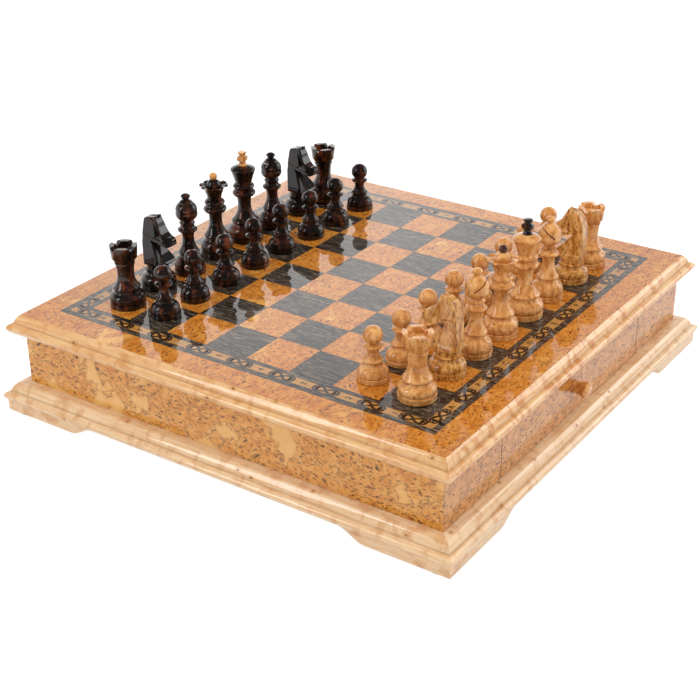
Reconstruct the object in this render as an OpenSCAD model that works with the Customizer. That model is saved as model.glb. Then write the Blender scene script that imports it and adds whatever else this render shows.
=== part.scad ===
// Chess set on a drawer case: a veneered board on a moulded box with a drawer
// for each player, bracket feet, and thirty-two turned and carved men.
// Millimetres, +Z up. The origin is on the table under the middle of the board.
// Light men stand along -Y and dark men along +Y; file a is at -X.

/* [Playing field and borders] */
// Side of one playing square
square = 42; // [36:0.5:44]
// Width of the dark band next to the squares
inner_band_w = 5; // [3:0.5:8]
// Width of the light ornament strip
ornament_w = 9; // [7:0.5:12]
// Width of the dark band outside the ornament strip
outer_band_w = 6; // [3:0.5:9]
// Width of the burl border outside the bands
border_w = 23; // [15:0.5:32]
// Thickness of every veneer
veneer_t = 0.8; // [0.6:0.1:1.5]
// Thickness of the core panel under the veneers
panel_t = 15.2; // [12:0.2:20]
// Open joint left between neighbouring veneers and at each mitre
joint_gap = 0.1; // [0.05:0.05:0.3]

/* [Mouldings] */
// How far the sloping cove reaches out
cove_w = 4.8; // [3:0.2:7]
// How far down the sloping cove reaches
cove_h = 6.8; // [4:0.2:8]
// Step between the cove and the bullnose
fillet_w = 1; // [0.5:0.1:2]
// How far the bullnose stands out of its chord
bullnose_bow = 3.3; // [1:0.1:4.5]
// How far the foot of the bullnose stands out of the moulding's inner edge
moulding_foot_w = 7.6; // [6:0.2:10]

/* [Case] */
// How far the walls stand back from the edge of the board panel
wall_setback = 1.5; // [0:0.5:6]
// Thickness of the walls
wall_t = 12; // [9:0.5:16]
// Thickness of the floor that the drawers run on
floor_t = 4; // [3:0.5:8]
// Thickness of the partition between the drawers
partition_t = 12; // [8:0.5:18]
// Thickness of the guides beside the drawers
guide_t = 10; // [6:0.5:16]

/* [Plinth and feet] */
// Height of the plinth moulding
plinth_h = 16; // [13:0.5:24]
// Flat ledge between the wall and the plinth's cove
plinth_ledge = 8.2; // [4:0.2:14]
// How far the plinth frame reaches in under the walls
plinth_inner_w = 20; // [16:0.5:40]
// Height of the bracket feet
foot_h = 9.5; // [6:0.5:20]
// Length of a foot along its side, at the bottom
foot_l = 75; // [50:1:110]
// Length of the ogee end of a foot
foot_end_l = 24; // [12:1:40]
// Thickness of a foot's boards
foot_t = 16; // [12:0.5:20]
// Side of the glue block in the corner of a foot
foot_block = 30; // [20:1:40]
// Height of the round pads
pad_h = 2.5; // [1.5:0.5:6]
// Radius of the round pads
pad_r = 12; // [8:0.5:14]
// Distance from a foot's outer faces to the middle of its pad
pad_inset = 14.5; // [14:0.5:22]

/* [Drawers] */
// Width of a drawer face
face_w = 247; // [180:1:260]
// Gap around a drawer face
face_gap = 0.8; // [0.3:0.1:1.2]
// How far a drawer box stands in from the ends of its face
box_inset = 5.5; // [2:0.5:12]
// Thickness of the drawer sides and back
box_t = 8; // [5:0.5:12]
// Height of the drawer sides and back, which the case follows
box_h = 42; // [34:0.5:60]
// Clear height over the drawer sides, under the board
box_headroom = 2.6; // [1:0.2:8]
// Running clearance of a drawer box at its sides, floor and back
box_gap = 0.4; // [0.2:0.1:1]
// Thickness of a drawer bottom
box_floor_t = 4; // [2.5:0.5:6]
// How high a drawer bottom sits above the lower edge of its sides
box_floor_z = 2; // [1:0.5:5]
// Thickness of the felt lining
felt_t = 1; // [0.5:0.5:2]
// Radius of a knob's tenon
tenon_r = 3; // [2:0.25:4]
// Radius of a knob's neck
knob_neck_r = 5.2; // [4.5:0.1:6]
// Radius of a knob's domed end
knob_r = 7.3; // [6:0.1:10]
// Length of a knob in front of its face
knob_l = 14; // [10:0.5:16]

/* [Foot discs of the men] */
// Height of the disc under each tall man
disc_h = 5.2; // [4:0.1:7]
// Depth of the groove over the disc
groove_d = 1; // [0.4:0.1:2]

/* [King] */
// Radius of the king's disc
king_base_r = 16.3; // [14:0.1:18]
// Height of the lip under the king's stem
king_lip_z = 20; // [18:0.5:24]
// Radius of that lip
king_lip_r = 13; // [11:0.1:14.5]
// Height of the king's waist
king_waist_z = 36; // [30:0.5:40]
// Radius of the king's waist
king_waist_r = 6.2; // [5:0.1:8]
// Height of the middle of the king's lower ring
king_ring_z = 47.3; // [45:0.1:49]
// Radius of the king's lower ring
king_ring_r = 11; // [9.5:0.1:13]
// Height of the king without its finial
king_h = 74; // [72:0.5:84]
// Radius of the rim of the king's head
king_head_r = 11.5; // [10:0.1:14]
// Height of the king's finial
finial_h = 13; // [11:0.5:18]
// Radius of the arms of the king's finial
finial_r = 4.8; // [4:0.1:6]

/* [Queen] */
// Radius of the queen's disc
queen_base_r = 15; // [13:0.1:17]
// Height of the lip under the queen's stem
queen_lip_z = 20.2; // [18:0.5:24]
// Radius of that lip
queen_lip_r = 11.5; // [10:0.1:13]
// Height of the queen's waist
queen_waist_z = 36; // [30:0.5:39]
// Radius of the queen's waist
queen_waist_r = 5.9; // [4.8:0.1:7]
// Height of the middle of the queen's lower ring
queen_ring_z = 45.5; // [43:0.1:47]
// Radius of the queen's lower ring
queen_ring_r = 10.8; // [9.5:0.1:12]
// Height of the tips of the queen's crown
queen_crown_z = 68.6; // [66:0.1:73]
// Radius of the tips of the queen's crown
queen_crown_r = 13.1; // [11:0.1:15]
// Radius of the dome in the queen's crown
queen_dome_r = 6.4; // [5.5:0.1:7.5]
// Height of the dome's top over the crown's tips
queen_dome_h = 5; // [3:0.1:7]
// Number of petals of the crown
queen_petals = 9; // [6:1:12]
// Radius of the ball on the queen
queen_ball_r = 3.6; // [2.6:0.1:4.5]

/* [Bishop] */
// Radius of the bishop's disc
bishop_base_r = 14.3; // [12:0.1:16]
// Height of the lip under the bishop's stem
bishop_lip_z = 20.2; // [18:0.5:23]
// Radius of that lip
bishop_lip_r = 9.6; // [8:0.1:11]
// Height of the bishop's waist
bishop_waist_z = 34; // [29:0.5:36]
// Radius of the bishop's waist
bishop_waist_r = 5.3; // [4.4:0.1:6.2]
// Height of the middle of the bishop's collar
bishop_collar_z = 41.4; // [39:0.1:43]
// Radius of the bishop's collar
bishop_collar_r = 9.2; // [8:0.1:11]
// Radius of the bishop's head
bishop_head_r = 9.5; // [8:0.1:11]
// Height of the bishop
bishop_h = 75; // [72:0.5:80]
// Width of the slit in the bishop's head
slit_w = 1.1; // [0.8:0.1:2]
// Depth of the slit, from the outside of the head
slit_d = 13.5; // [3:0.5:15]

/* [Knight] */
// Radius of the knight's disc
knight_base_r = 15.4; // [13:0.1:17]
// Height of the lip under the horse's head
knight_lip_z = 17.3; // [15:0.1:19]
// Radius of that lip
knight_lip_r = 11.4; // [10:0.1:13]
// Height of the knight's ears
knight_h = 68.5; // [64:0.5:78]
// How far the knight's nose reaches forward of its middle
knight_reach = 20.8; // [18:0.1:22]
// Half thickness of the knight's neck at its foot
knight_foot_t = 8.4; // [7:0.1:11]
// Half thickness of the knight's head
knight_head_t = 6.3; // [5:0.1:8]
// Half thickness of the knight's nose
knight_nose_t = 4; // [3:0.1:5]
// Width of the saw cut between the ears
ear_cut_w = 2.4; // [1:0.1:4]
// Depth of that cut
ear_cut_d = 4.5; // [2:0.5:6]

/* [Rook] */
// Radius of the rook's disc
rook_base_r = 15.4; // [13:0.1:17]
// Height of the lip under the rook's stem
rook_lip_z = 17.3; // [15:0.5:20]
// Radius of that lip
rook_lip_r = 12; // [10:0.1:13.5]
// Height of the rook's waist
rook_waist_z = 31; // [26:0.5:34]
// Radius of the rook's waist
rook_waist_r = 7.5; // [6:0.1:8]
// Height of the underside of the rook's tower
rook_tower_z = 41; // [39:0.5:44]
// Radius of the rook's tower at its top
rook_tower_r = 12; // [10.5:0.1:14]
// Height of the rook
rook_h = 56; // [53:0.5:62]
// Radius of the well in the rook's tower
well_r = 7.8; // [5:0.1:9]
// Depth of the well
well_d = 5; // [3:0.5:7]
// Width of the four notches in the tower
notch_w = 4.6; // [2:0.1:7]
// Depth of the notches
notch_d = 2.6; // [1:0.1:5]

/* [Pawn] */
// Radius of the pawn's disc
pawn_base_r = 13; // [11:0.1:15]
// Height of the pawn's disc
pawn_disc_h = 4.4; // [3:0.1:6]
// Height of the lip under the pawn's stem
pawn_lip_z = 17.2; // [15:0.5:19]
// Radius of that lip
pawn_lip_r = 8.2; // [7:0.1:9.5]
// Height of the pawn's waist
pawn_waist_z = 24.5; // [22:0.5:26]
// Radius of the pawn's waist
pawn_waist_r = 4.5; // [3.5:0.1:5.5]
// Height of the pawn's collar
pawn_collar_z = 29.5; // [28:0.1:31]
// Radius of the pawn's collar
pawn_collar_r = 7.9; // [6.5:0.1:9]
// Radius of the pawn's ball
pawn_ball_r = 7.8; // [6.5:0.1:9]

/* [Hidden] */
$fn = 48;
files = "abcdefgh";
squares_per_side = 8;
// Corner signs, and the turns that carry one side of the case to all four
corners = [[-1, -1], [1, -1], [1, 1], [-1, 1]];
side_turns = [0, 90, 180, 270];
past = 1; // how far a cutting shape runs past what it cuts
bow_steps = 6;

field_half = squares_per_side / 2 * square;
inner_band_half = field_half + inner_band_w;
ornament_half = inner_band_half + ornament_w;
outer_band_half = ornament_half + outer_band_w;
board_half = outer_band_half + border_w;

wall_half = board_half - wall_setback;
wall_in = wall_half - wall_t;
plinth_half = wall_half + plinth_ledge;
plinth_in = wall_half - plinth_inner_w;
foot_half = plinth_half + moulding_foot_w;

wall_h = floor_t + box_gap + box_h + box_headroom;

foot_z = pad_h;
plinth_z = foot_z + foot_h;
wall_z = plinth_z + plinth_h;
panel_z = wall_z + wall_h;
veneer_z = panel_z + panel_t;
board_z = veneer_z + veneer_t;
top_moulding_h = panel_t + veneer_t;

opening_half = face_w / 2 + face_gap;
box_half = face_w / 2 - box_inset;
box_z = wall_z + floor_t + box_gap;
box_back = partition_t / 2 + box_gap;
knob_z = wall_z + wall_h / 2;
tenon_gap = 0.05;

// How each man stands, as a hand puts it down: its place from the middle of its
// square, and the angle it is turned by
back_row = ["rook", "knight", "bishop", "queen", "king", "bishop", "knight", "rook"];
light_back_stand = [
    [-1, -1, -10], [3, 0, -3], [1, -2, -55], [0, -2, 0],
    [1, -1, 25], [1, -1, 125], [3, -2, 4], [0, 0, 0]
];
dark_back_stand = [
    [1, 0, -10], [3, 3, 2], [0, 0, -145], [2, 4, 10],
    [3, 4, 0], [0, 1, -10], [3, 1, -3], [0, 0, 5]
];
light_pawn_stand = [[5, 1], [-1, -2], [0, 0], [1, 1], [0, 0], [-1, 0], [0, 1], [0, 0]];
dark_pawn_stand = [[3, 1], [0, 1], [0, 0], [1, 1], [0, 1], [0, -2], [-2, -3], [1, -1]];
// The men: kind, file and rank counted from 0, side, and stand
men = concat(
    [for (i = [0:7]) [back_row[i], i, 0, "light", light_back_stand[i]]],
    [for (i = [0:7]) ["pawn", i, 1, "light", concat(light_pawn_stand[i], 0)]],
    [for (i = [0:7]) ["pawn", i, 6, "dark", concat(dark_pawn_stand[i], 0)]],
    [for (i = [0:7]) [back_row[i], i, 7, "dark", dark_back_stand[i]]]
);
royals = [for (m = men) if (m[0] == "king" || m[0] == "queen") m];

function man_node(m) = str(m[3], "_", m[0], "_", files[m[1]], m[2] + 1);
function topper_node(m) = str(man_node(m), m[0] == "king" ? "_finial" : "_ball");
function wood(side) = side == "light" ? "#D9A566" : "#2A1610";

// ---- Outlines ----
// A row of an outline is [height, radius, bow]: the bow is how far the line to
// the next row swells outwards, or inwards where it is negative.
function bowed(a, b) =
    let (rise = b[0] - a[0], run = b[1] - a[1], chord = norm([rise, run]), n = a[2] == 0 ? 1 : bow_steps)
    [for (i = [0:n - 1]) let (t = i / n, q = 4 * t * (1 - t) * a[2])
        [a[1] + run * t + rise / chord * q, a[0] + rise * t - run / chord * q]];

function outline(rows) = concat(
    [for (i = [0:len(rows) - 2]) each bowed(rows[i], rows[i + 1])],
    [[rows[len(rows) - 1][1], rows[len(rows) - 1][0]]]
);

// Disc, groove, bulge and lip that every man stands on
function base_rows(base_r, disc, lip_z, lip_r, bulge) = [
    [0, 0, 0],
    [0, base_r - 0.5, 0],
    [0.5, base_r, 0],
    [disc - 0.3, base_r, 0],
    [disc, base_r - 0.4, 0],
    [disc + 0.1, base_r - groove_d, 0],
    [disc + 0.5, base_r - groove_d, 0],
    [disc + 0.6, base_r - 0.6, bulge],
    [lip_z - 4, lip_r - 0.5, -0.4],
    [lip_z - 0.5, lip_r - 0.9, 0],
    [lip_z, lip_r, 0]
];

// Hollow stem from the lip over the waist to the foot of a ring or collar
function stem_rows(lip_z, lip_r, waist_z, waist_r, top_z, hollow) = [
    [lip_z + 0.5, lip_r - 0.1, -hollow],
    [waist_z, waist_r, -0.2],
    [top_z, waist_r + 0.9, 0]
];

// Round ring of radius r about height z
function ring_rows(z, r, half_h) = [
    [z - half_h, r - 1.7, 1.6],
    [z + half_h, r - 1.9, 0],
    [z + half_h + 0.4, r - 2.7, 0],
    [z + half_h + 1.2, r - 2.7, 0]
];
ring_half_h = 2.5;
ring_pitch = 2 * ring_half_h + 1.5;

module turn(rows) rotate_extrude() polygon(outline(rows));

// ---- Board ----
// Square ring between two half widths, as four mitred lengths
module mitred_frame(inner_half, outer_half, h) {
    for (a = side_turns) rotate(a) linear_extrude(h) polygon([
        [joint_gap / 2 - inner_half, -inner_half],
        [joint_gap / 2 - outer_half, -outer_half],
        [outer_half - joint_gap / 2, -outer_half],
        [inner_half - joint_gap / 2, -inner_half]
    ]);
}

module board_panel() color("#C9A777") {
    translate([-board_half, -board_half, panel_z]) cube([2 * board_half, 2 * board_half, panel_t]);
}

// Squares whose file and rank add up to an even number are dark, a1 among them
module squares_of(parity) {
    corner = field_half - joint_gap / 2;
    for (i = [0:squares_per_side - 1], j = [0:squares_per_side - 1])
        if ((i + j) % 2 == parity)
            translate([i * square - corner, j * square - corner, veneer_z])
                cube([square - joint_gap, square - joint_gap, veneer_t]);
}

module dark_squares() color("#4A4038") squares_of(0);

module light_squares() color("#D08A3C") squares_of(1);

module dark_bands() color("#3A3028") translate([0, 0, veneer_z]) {
    mitred_frame(field_half + joint_gap, inner_band_half - joint_gap, veneer_t);
    mitred_frame(ornament_half, outer_band_half - joint_gap, veneer_t);
}

module ornament_strip() color("#E0B878") translate([0, 0, veneer_z])
    mitred_frame(inner_band_half, ornament_half - joint_gap, veneer_t);

module burl_border() color("#C27A22") translate([0, 0, veneer_z])
    mitred_frame(outer_band_half, board_half, veneer_t);

// ---- Mouldings ----
// Section of a moulding of height h, outwards from its inner edge, top at 0
function moulding_section(h) = concat(
    [[0, 0], [cove_w * 0.45, -cove_h * 0.6], [cove_w, -cove_h], [cove_w, -cove_h - 0.8]],
    outline([[-cove_h - 0.8, cove_w + fillet_w, -bullnose_bow], [-h, moulding_foot_w, 0]]),
    [[0, -h]]
);

// Four lengths of a section around a square, mitred at the corners
module moulded_frame(inner_half, section) {
    reach = inner_half + cove_w + fillet_w + bullnose_bow + moulding_foot_w;
    for (a = side_turns) rotate(a) intersection() {
        translate([-reach, -inner_half, 0]) rotate([90, 0, 90]) linear_extrude(2 * reach)
            polygon([for (p = section) [-p[0], p[1]]]);
        translate([0, 0, -2 * plinth_h]) linear_extrude(4 * plinth_h)
            polygon([[0, -joint_gap], [-reach, -reach - joint_gap], [reach, -reach - joint_gap]]);
    }
}

module top_moulding() color("#F0D2A8") translate([0, 0, board_z])
    moulded_frame(board_half + joint_gap, moulding_section(top_moulding_h));

module plinth_moulding() color("#F0D2A8") translate([0, 0, wall_z])
    moulded_frame(plinth_half, concat(
        [[plinth_in - plinth_half, 0]],
        moulding_section(plinth_h),
        [[plinth_in - plinth_half, -plinth_h]]
    ));

// ---- Case ----
module side_walls() color("#D2913E") for (s = [-1, 1]) scale([s, 1, 1])
    translate([0, 0, wall_z]) linear_extrude(wall_h) polygon([
        [wall_half, joint_gap - wall_half],
        [wall_half, wall_half - joint_gap],
        [wall_in, wall_in - joint_gap],
        [wall_in, joint_gap - wall_in]
    ]);

module end_cheeks() color("#D2913E") for (c = corners) scale([c[0], c[1], 1])
    translate([0, 0, wall_z]) linear_extrude(wall_h) polygon([
        [opening_half, wall_in],
        [wall_in, wall_in],
        [wall_half, wall_half],
        [opening_half, wall_half]
    ]);

module bottom_panel() color("#C9A777") {
    half = wall_in - joint_gap;
    translate([-half, -half, wall_z]) cube([2 * half, 2 * half, floor_t]);
}

// Partition across the middle and a guide on each side of each drawer
module drawer_dividers() color("#C9A777") translate([0, 0, wall_z + floor_t]) {
    h = wall_h - floor_t;
    half = wall_in - joint_gap;
    translate([-half, -partition_t / 2, 0]) cube([2 * half, partition_t, h]);
    for (c = corners) scale([c[0], c[1], 1])
        translate([box_half + box_gap, partition_t / 2 + joint_gap, 0])
            cube([guide_t, wall_in - partition_t / 2 - 2 * joint_gap, h]);
}

// ---- Feet ----
// Side view of a foot's board: flat bottom, then an ogee up to the plinth
function foot_outline() = concat(
    [[0, 0], [foot_l, 0]],
    [for (t = [0.125:0.125:1]) [foot_l + foot_end_l * t, foot_h * (3 * t * t - 2 * t * t * t)]],
    [[0, foot_h]]
);

module foot_board() {
    intersection() {
        translate([0, foot_t, 0]) rotate([90, 0, 0]) linear_extrude(foot_t) polygon(foot_outline());
        translate([0, 0, -past]) linear_extrude(foot_h + 2 * past) polygon([
            [joint_gap, 0],
            [foot_l + foot_end_l + past, 0],
            [foot_l + foot_end_l + past, foot_t],
            [foot_t + joint_gap, foot_t]
        ]);
    }
}

module feet() color("#F0D2A8") for (c = corners) scale([c[0], c[1], 1])
    translate([foot_half, foot_half, foot_z]) scale([-1, -1, 1]) {
        foot_board();
        mirror([1, -1, 0]) foot_board();
        translate([foot_t + joint_gap, foot_t + joint_gap, 0])
            cube([foot_block - foot_t, foot_block - foot_t, foot_h]);
    }

module foot_pads() color("#2E2622") for (c = corners)
    translate([c[0] * (foot_half - pad_inset), c[1] * (foot_half - pad_inset), 0])
        cylinder(h = pad_h, r = pad_r);

// ---- Drawers, drawn for the front and turned for the back ----
module drawer_turn(turned) rotate(turned ? 180 : 0) children();

module drawer_face(turned) color("#D2913E") drawer_turn(turned) difference() {
    translate([-face_w / 2, -wall_half, wall_z + face_gap])
        cube([face_w, wall_t - joint_gap, wall_h - 2 * face_gap]);
    translate([0, past - wall_in, knob_z]) rotate([90, 0, 0])
        cylinder(h = wall_t + 2 * past, r = tenon_r + tenon_gap);
}

module drawer_box(turned) color("#D8B98A") drawer_turn(turned) translate([0, 0, box_z]) {
    for (s = [-1, 1]) translate([s * (box_half - box_t / 2) - box_t / 2, -wall_in, 0])
        cube([box_t, wall_in - box_back, box_h]);
    inner = box_half - box_t - joint_gap;
    translate([-inner, -box_back - box_t, 0]) cube([2 * inner, box_t, box_h]);
}

// Length of the space between the face and the back of a drawer
drawer_in_l = wall_in - box_back - box_t - 2 * joint_gap;

module drawer_bottom(turned) color("#C9A777") drawer_turn(turned) {
    inner = box_half - box_t - joint_gap;
    translate([-inner, joint_gap - wall_in, box_z + box_floor_z]) cube([2 * inner, drawer_in_l, box_floor_t]);
}

module drawer_felt(turned) color("#3E5A3A") drawer_turn(turned) {
    inner = box_half - box_t - 2 * joint_gap;
    translate([-inner, 2 * joint_gap - wall_in, box_z + box_floor_z + box_floor_t])
        cube([2 * inner, drawer_in_l - 2 * joint_gap, felt_t]);
}

// Knob turned with a ringed foot, a hollow neck and a domed end, on its tenon
module drawer_knob(turned) color("#C98A4A") drawer_turn(turned)
    translate([0, -wall_half, knob_z]) rotate([90, 0, 0]) turn([
        [joint_gap - wall_t, 0, 0],
        [joint_gap - wall_t, tenon_r, 0],
        [0, tenon_r, 0],
        [0, knob_neck_r + 0.6, 0],
        [1.5, knob_neck_r + 0.6, 0],
        [1.5, knob_neck_r, -0.2],
        [knob_l - 4, knob_r - 0.3, 0.3],
        [knob_l - 1.8, knob_r - 0.4, 0.8],
        [knob_l, 0, 0]
    ]);

// ---- Men ----
// Highest row of the king's and the queen's two rings
function double_ring_top(ring_z) = ring_z + ring_pitch + ring_half_h + 0.4;

module king() turn(concat(
    base_rows(king_base_r, disc_h, king_lip_z, king_lip_r, 2.2),
    stem_rows(king_lip_z, king_lip_r, king_waist_z, king_waist_r, king_ring_z - ring_half_h, 2),
    ring_rows(king_ring_z, king_ring_r, ring_half_h),
    ring_rows(king_ring_z + ring_pitch, king_ring_r - 0.8, ring_half_h - 0.2),
    [
        [double_ring_top(king_ring_z) + 1, king_head_r - 3.8, -0.15],
        [king_h - 4.4, king_head_r, 0.25],
        [king_h - 2.8, king_head_r - 0.4, 0.4],
        [king_h, 4, 0],
        [king_h, 0, 0]
    ]
));

// Small cross with a flared foot, two round arms and a flared top
module king_finial() {
    turn([
        [0, 0, 0],
        [0, 4.2, 0],
        [0.6, 4.2, -0.3],
        [finial_h * 0.28, 3, 0],
        [finial_h * 0.74, 2.9, -0.2],
        [finial_h - 1.3, 4, 0],
        [finial_h - 0.3, 4, 0],
        [finial_h, 3.4, 0],
        [finial_h, 0, 0]
    ]);
    arm_r = 2.5;
    translate([0, 0, finial_h * 0.5]) rotate([90, 0, 0])
        for (s = [-1, 1]) translate([s * (finial_r - arm_r), 0, -arm_r]) cylinder(h = 2 * arm_r, r = arm_r);
}

module queen() {
    cup_z = double_ring_top(queen_ring_z) + 1;
    difference() {
        turn(concat(
            base_rows(queen_base_r, disc_h, queen_lip_z, queen_lip_r, 2),
            stem_rows(queen_lip_z, queen_lip_r, queen_waist_z, queen_waist_r, queen_ring_z - ring_half_h, 1.7),
            ring_rows(queen_ring_z, queen_ring_r, ring_half_h),
            ring_rows(queen_ring_z + ring_pitch, queen_ring_r - 1.3, ring_half_h - 0.2),
            [
                [cup_z, 6.3, -0.2],
                [queen_crown_z - 6.8, 8, -0.9],
                [queen_crown_z, queen_crown_r, 0],
                [queen_crown_z - 0.2, queen_crown_r - 1.5, 0.5],
                [queen_crown_z - 3.6, queen_dome_r + 0.6, 0],
                [queen_crown_z - 2.8, queen_dome_r, 1.4],
                [queen_crown_z + queen_dome_h, 3, 0],
                [queen_crown_z + queen_dome_h, 0, 0]
            ]
        ));
        scallop_r = queen_crown_r * sin(180 / queen_petals) * 0.8;
        for (i = [0:queen_petals - 1]) rotate((i + 0.5) * 360 / queen_petals)
            translate([queen_dome_r + 1.6, 0, queen_crown_z + 1.6]) rotate([0, 90, 0])
                cylinder(h = queen_crown_r, r = scallop_r);
    }
}

// Ball with a flat seat and a slightly flattened top
module queen_ball() {
    sunk = 0.2 * queen_ball_r;
    rotate_extrude() intersection() {
        translate([0, queen_ball_r - sunk]) circle(queen_ball_r);
        square([queen_ball_r, 2 * queen_ball_r - 1.25 * sunk]);
    }
}

module bishop() difference() {
    neck_z = bishop_collar_z + 8.8;
    turn(concat(
        base_rows(bishop_base_r, disc_h - 0.4, bishop_lip_z, bishop_lip_r, 2),
        stem_rows(bishop_lip_z, bishop_lip_r, bishop_waist_z, bishop_waist_r, bishop_collar_z - 1.9, 1.2),
        [
            [bishop_collar_z - 1.6, bishop_collar_r - 1.4, 1.2],
            [bishop_collar_z + 1.6, bishop_collar_r - 1.7, -0.3],
            [bishop_collar_z + 4, 6.2, 0],
            [bishop_collar_z + 4.8, 6.2, 0.9],
            [neck_z - 0.8, 6, 0],
            [neck_z, 5.6, 0],
            [neck_z + 0.6, bishop_head_r - 3.3, 1.6],
            [bishop_h - 16.5, bishop_head_r, 1.3],
            [bishop_h - 8.5, bishop_head_r - 3.1, 0.4],
            [bishop_h - 5.6, 3.2, 0],
            [bishop_h - 5, 2.8, 0],
            [bishop_h - 4.4, 3, 1.6],
            [bishop_h - 0.4, 2.4, 0.3],
            [bishop_h, 0, 0]
        ]
    ));
    // Slanting saw cut, open to the outside of the head
    translate([bishop_head_r + past - slit_d, 0, bishop_h - 18.3]) rotate([0, -40, 0])
        translate([0, -bishop_head_r - past, 0])
            cube([3 * bishop_head_r, 2 * (bishop_head_r + past), slit_w]);
}

// Side view of the horse's head, up the mane and down the face, as rows of
// [height, distance forward, bow to the next row], the bow outwards. Heights are
// in hundredths of the head's height over its foot, the rest in hundredths of
// the nose's reach.
knight_neck_z = knight_lip_z + 1.3;
horse_rows = [
    [6.8, -54.8, 0],
    [12.8, -55.8, 0.6],
    [42.9, -51, 0.8],
    [70.9, -44.7, 1.4],
    [86, -36.5, 2.4],
    [95.6, -7.2, 0],
    [100, 23.1, 0],
    [93, 25.5, -12.5],
    [63.7, 91.3, 1.2],
    [55.9, 100, 1.6],
    [46.7, 81.7, 0.8],
    [47.3, 57.7, 1.2],
    [53.3, -4.8, 0],
    [52.1, -5.8, 0],
    [16.6, 77.9, 1],
    [10.8, 78.4, 0],
    [6.8, 64.9, 0]
];
function up(share) = knight_neck_z + (knight_h - knight_neck_z) * share / 100;
function forward(share) = knight_reach * share / 100;

// Front view of the horse's head: [half thickness, height]
function horse_front() = [
    [knight_foot_t, up(6.8) - past],
    [knight_foot_t, up(12)],
    [knight_head_t, up(51.8)],
    [knight_head_t - 0.5, up(89.6)],
    [knight_head_t - 2, knight_h + past]
];

module knight() {
    // A short neck stands on the turned foot and carries the head
    shoulder_r = knight_lip_r - 1.8;
    block_r = knight_reach + 3.2;
    turn(concat(
        base_rows(knight_base_r, disc_h, knight_lip_z, knight_lip_r, 1.8),
        [[knight_lip_z + 0.4, shoulder_r, 0], [up(8), shoulder_r, 0], [up(8), 0, 0]]
    ));
    difference() {
        intersection() {
            rotate([90, 0, 90]) translate([0, 0, -knight_foot_t]) linear_extrude(2 * knight_foot_t)
                polygon(outline([for (r = horse_rows) [up(r[0]), forward(r[1]), -forward(r[2])]]));
            rotate([90, 0, 0]) translate([0, 0, -block_r]) linear_extrude(2 * block_r)
                polygon(concat(horse_front(), [for (i = [len(horse_front()) - 1:-1:0])
                    [-horse_front()[i][0], horse_front()[i][1]]]));
            // Turned lower edge of the head
            turn([
                [up(6.8), 0, 0],
                [up(6.8), forward(62), 0],
                [up(12), forward(78), 0],
                [up(30), forward(79), 0],
                [up(45), block_r, 0],
                [knight_h + past, block_r, 0],
                [knight_h + past, 0, 0]
            ]);
        }
        // Both cheeks taper to the nose
        for (s = [-1, 1]) scale([s, 1, 1]) translate([0, 0, up(33)]) linear_extrude(up(90) - up(33)) polygon([
            [knight_nose_t, forward(103.7)],
            [knight_head_t + 0.4, forward(34.6)],
            [knight_head_t + 4, forward(34.6)],
            [knight_head_t + 4, forward(103.7)]
        ]);
        // Saw cut between the ears
        translate([-ear_cut_w / 2, -forward(4.3), knight_h - ear_cut_d])
            cube([ear_cut_w, forward(53.2), ear_cut_d + past]);
    }
}

module rook() difference() {
    turn(concat(
        base_rows(rook_base_r, disc_h, rook_lip_z, rook_lip_r, 1.7),
        stem_rows(rook_lip_z, rook_lip_r, rook_waist_z, rook_waist_r, rook_tower_z - 1.5, 1.6),
        [
            [rook_tower_z - 1.4, rook_waist_r + 1.3, 0],
            [rook_tower_z - 0.1, rook_waist_r + 1.3, 0],
            [rook_tower_z, rook_waist_r + 0.9, -0.2],
            [rook_tower_z + 4, rook_tower_r - 0.9, 0],
            [rook_h, rook_tower_r, 0],
            [rook_h, well_r, 0],
            [rook_h - well_d, well_r, 0],
            [rook_h - well_d, 0, 0]
        ]
    ));
    for (a = [0, 90]) rotate(a) translate([-rook_tower_r - past, -notch_w / 2, rook_h - notch_d])
        cube([2 * (rook_tower_r + past), notch_w, notch_d + past]);
}

module pawn() {
    ball_z = pawn_collar_z + 1.4 + 0.95 * pawn_ball_r;
    seat_r = 5;
    turn(concat(
        base_rows(pawn_base_r, pawn_disc_h, pawn_lip_z, pawn_lip_r, 1.5),
        stem_rows(pawn_lip_z, pawn_lip_r, pawn_waist_z, pawn_waist_r, pawn_collar_z - 1.2, 0.8),
        [
            [pawn_collar_z - 0.7, pawn_collar_r - 0.5, 0],
            [pawn_collar_z, pawn_collar_r, 0],
            [pawn_collar_z + 0.6, pawn_collar_r - 0.3, -0.2],
            [pawn_collar_z + 1.9, seat_r, 0],
            [pawn_collar_z + 1.9, 0, 0]
        ]
    ));
    translate([0, 0, ball_z]) sphere(r = pawn_ball_r);
}

// Puts its children on a man's place; light men look along +Y and dark men along -Y
module stand(m) {
    x = (m[1] + 0.5) * square - field_half + m[4][0];
    y = (m[2] + 0.5) * square - field_half + m[4][1];
    translate([x, y, board_z]) rotate((m[3] == "light" ? 0 : 180) + m[4][2]) children();
}

module man(m) color(wood(m[3])) stand(m) {
    if (m[0] == "king") king();
    if (m[0] == "queen") queen();
    if (m[0] == "bishop") bishop();
    if (m[0] == "knight") knight();
    if (m[0] == "rook") rook();
    if (m[0] == "pawn") pawn();
}

// The finial or ball on a king or queen is of the other side's wood
module topper(m) color(wood(m[3] == "light" ? "dark" : "light")) stand(m) {
    if (m[0] == "king") translate([0, 0, king_h]) king_finial();
    if (m[0] == "queen") translate([0, 0, queen_crown_z + queen_dome_h]) queen_ball();
}

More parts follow.
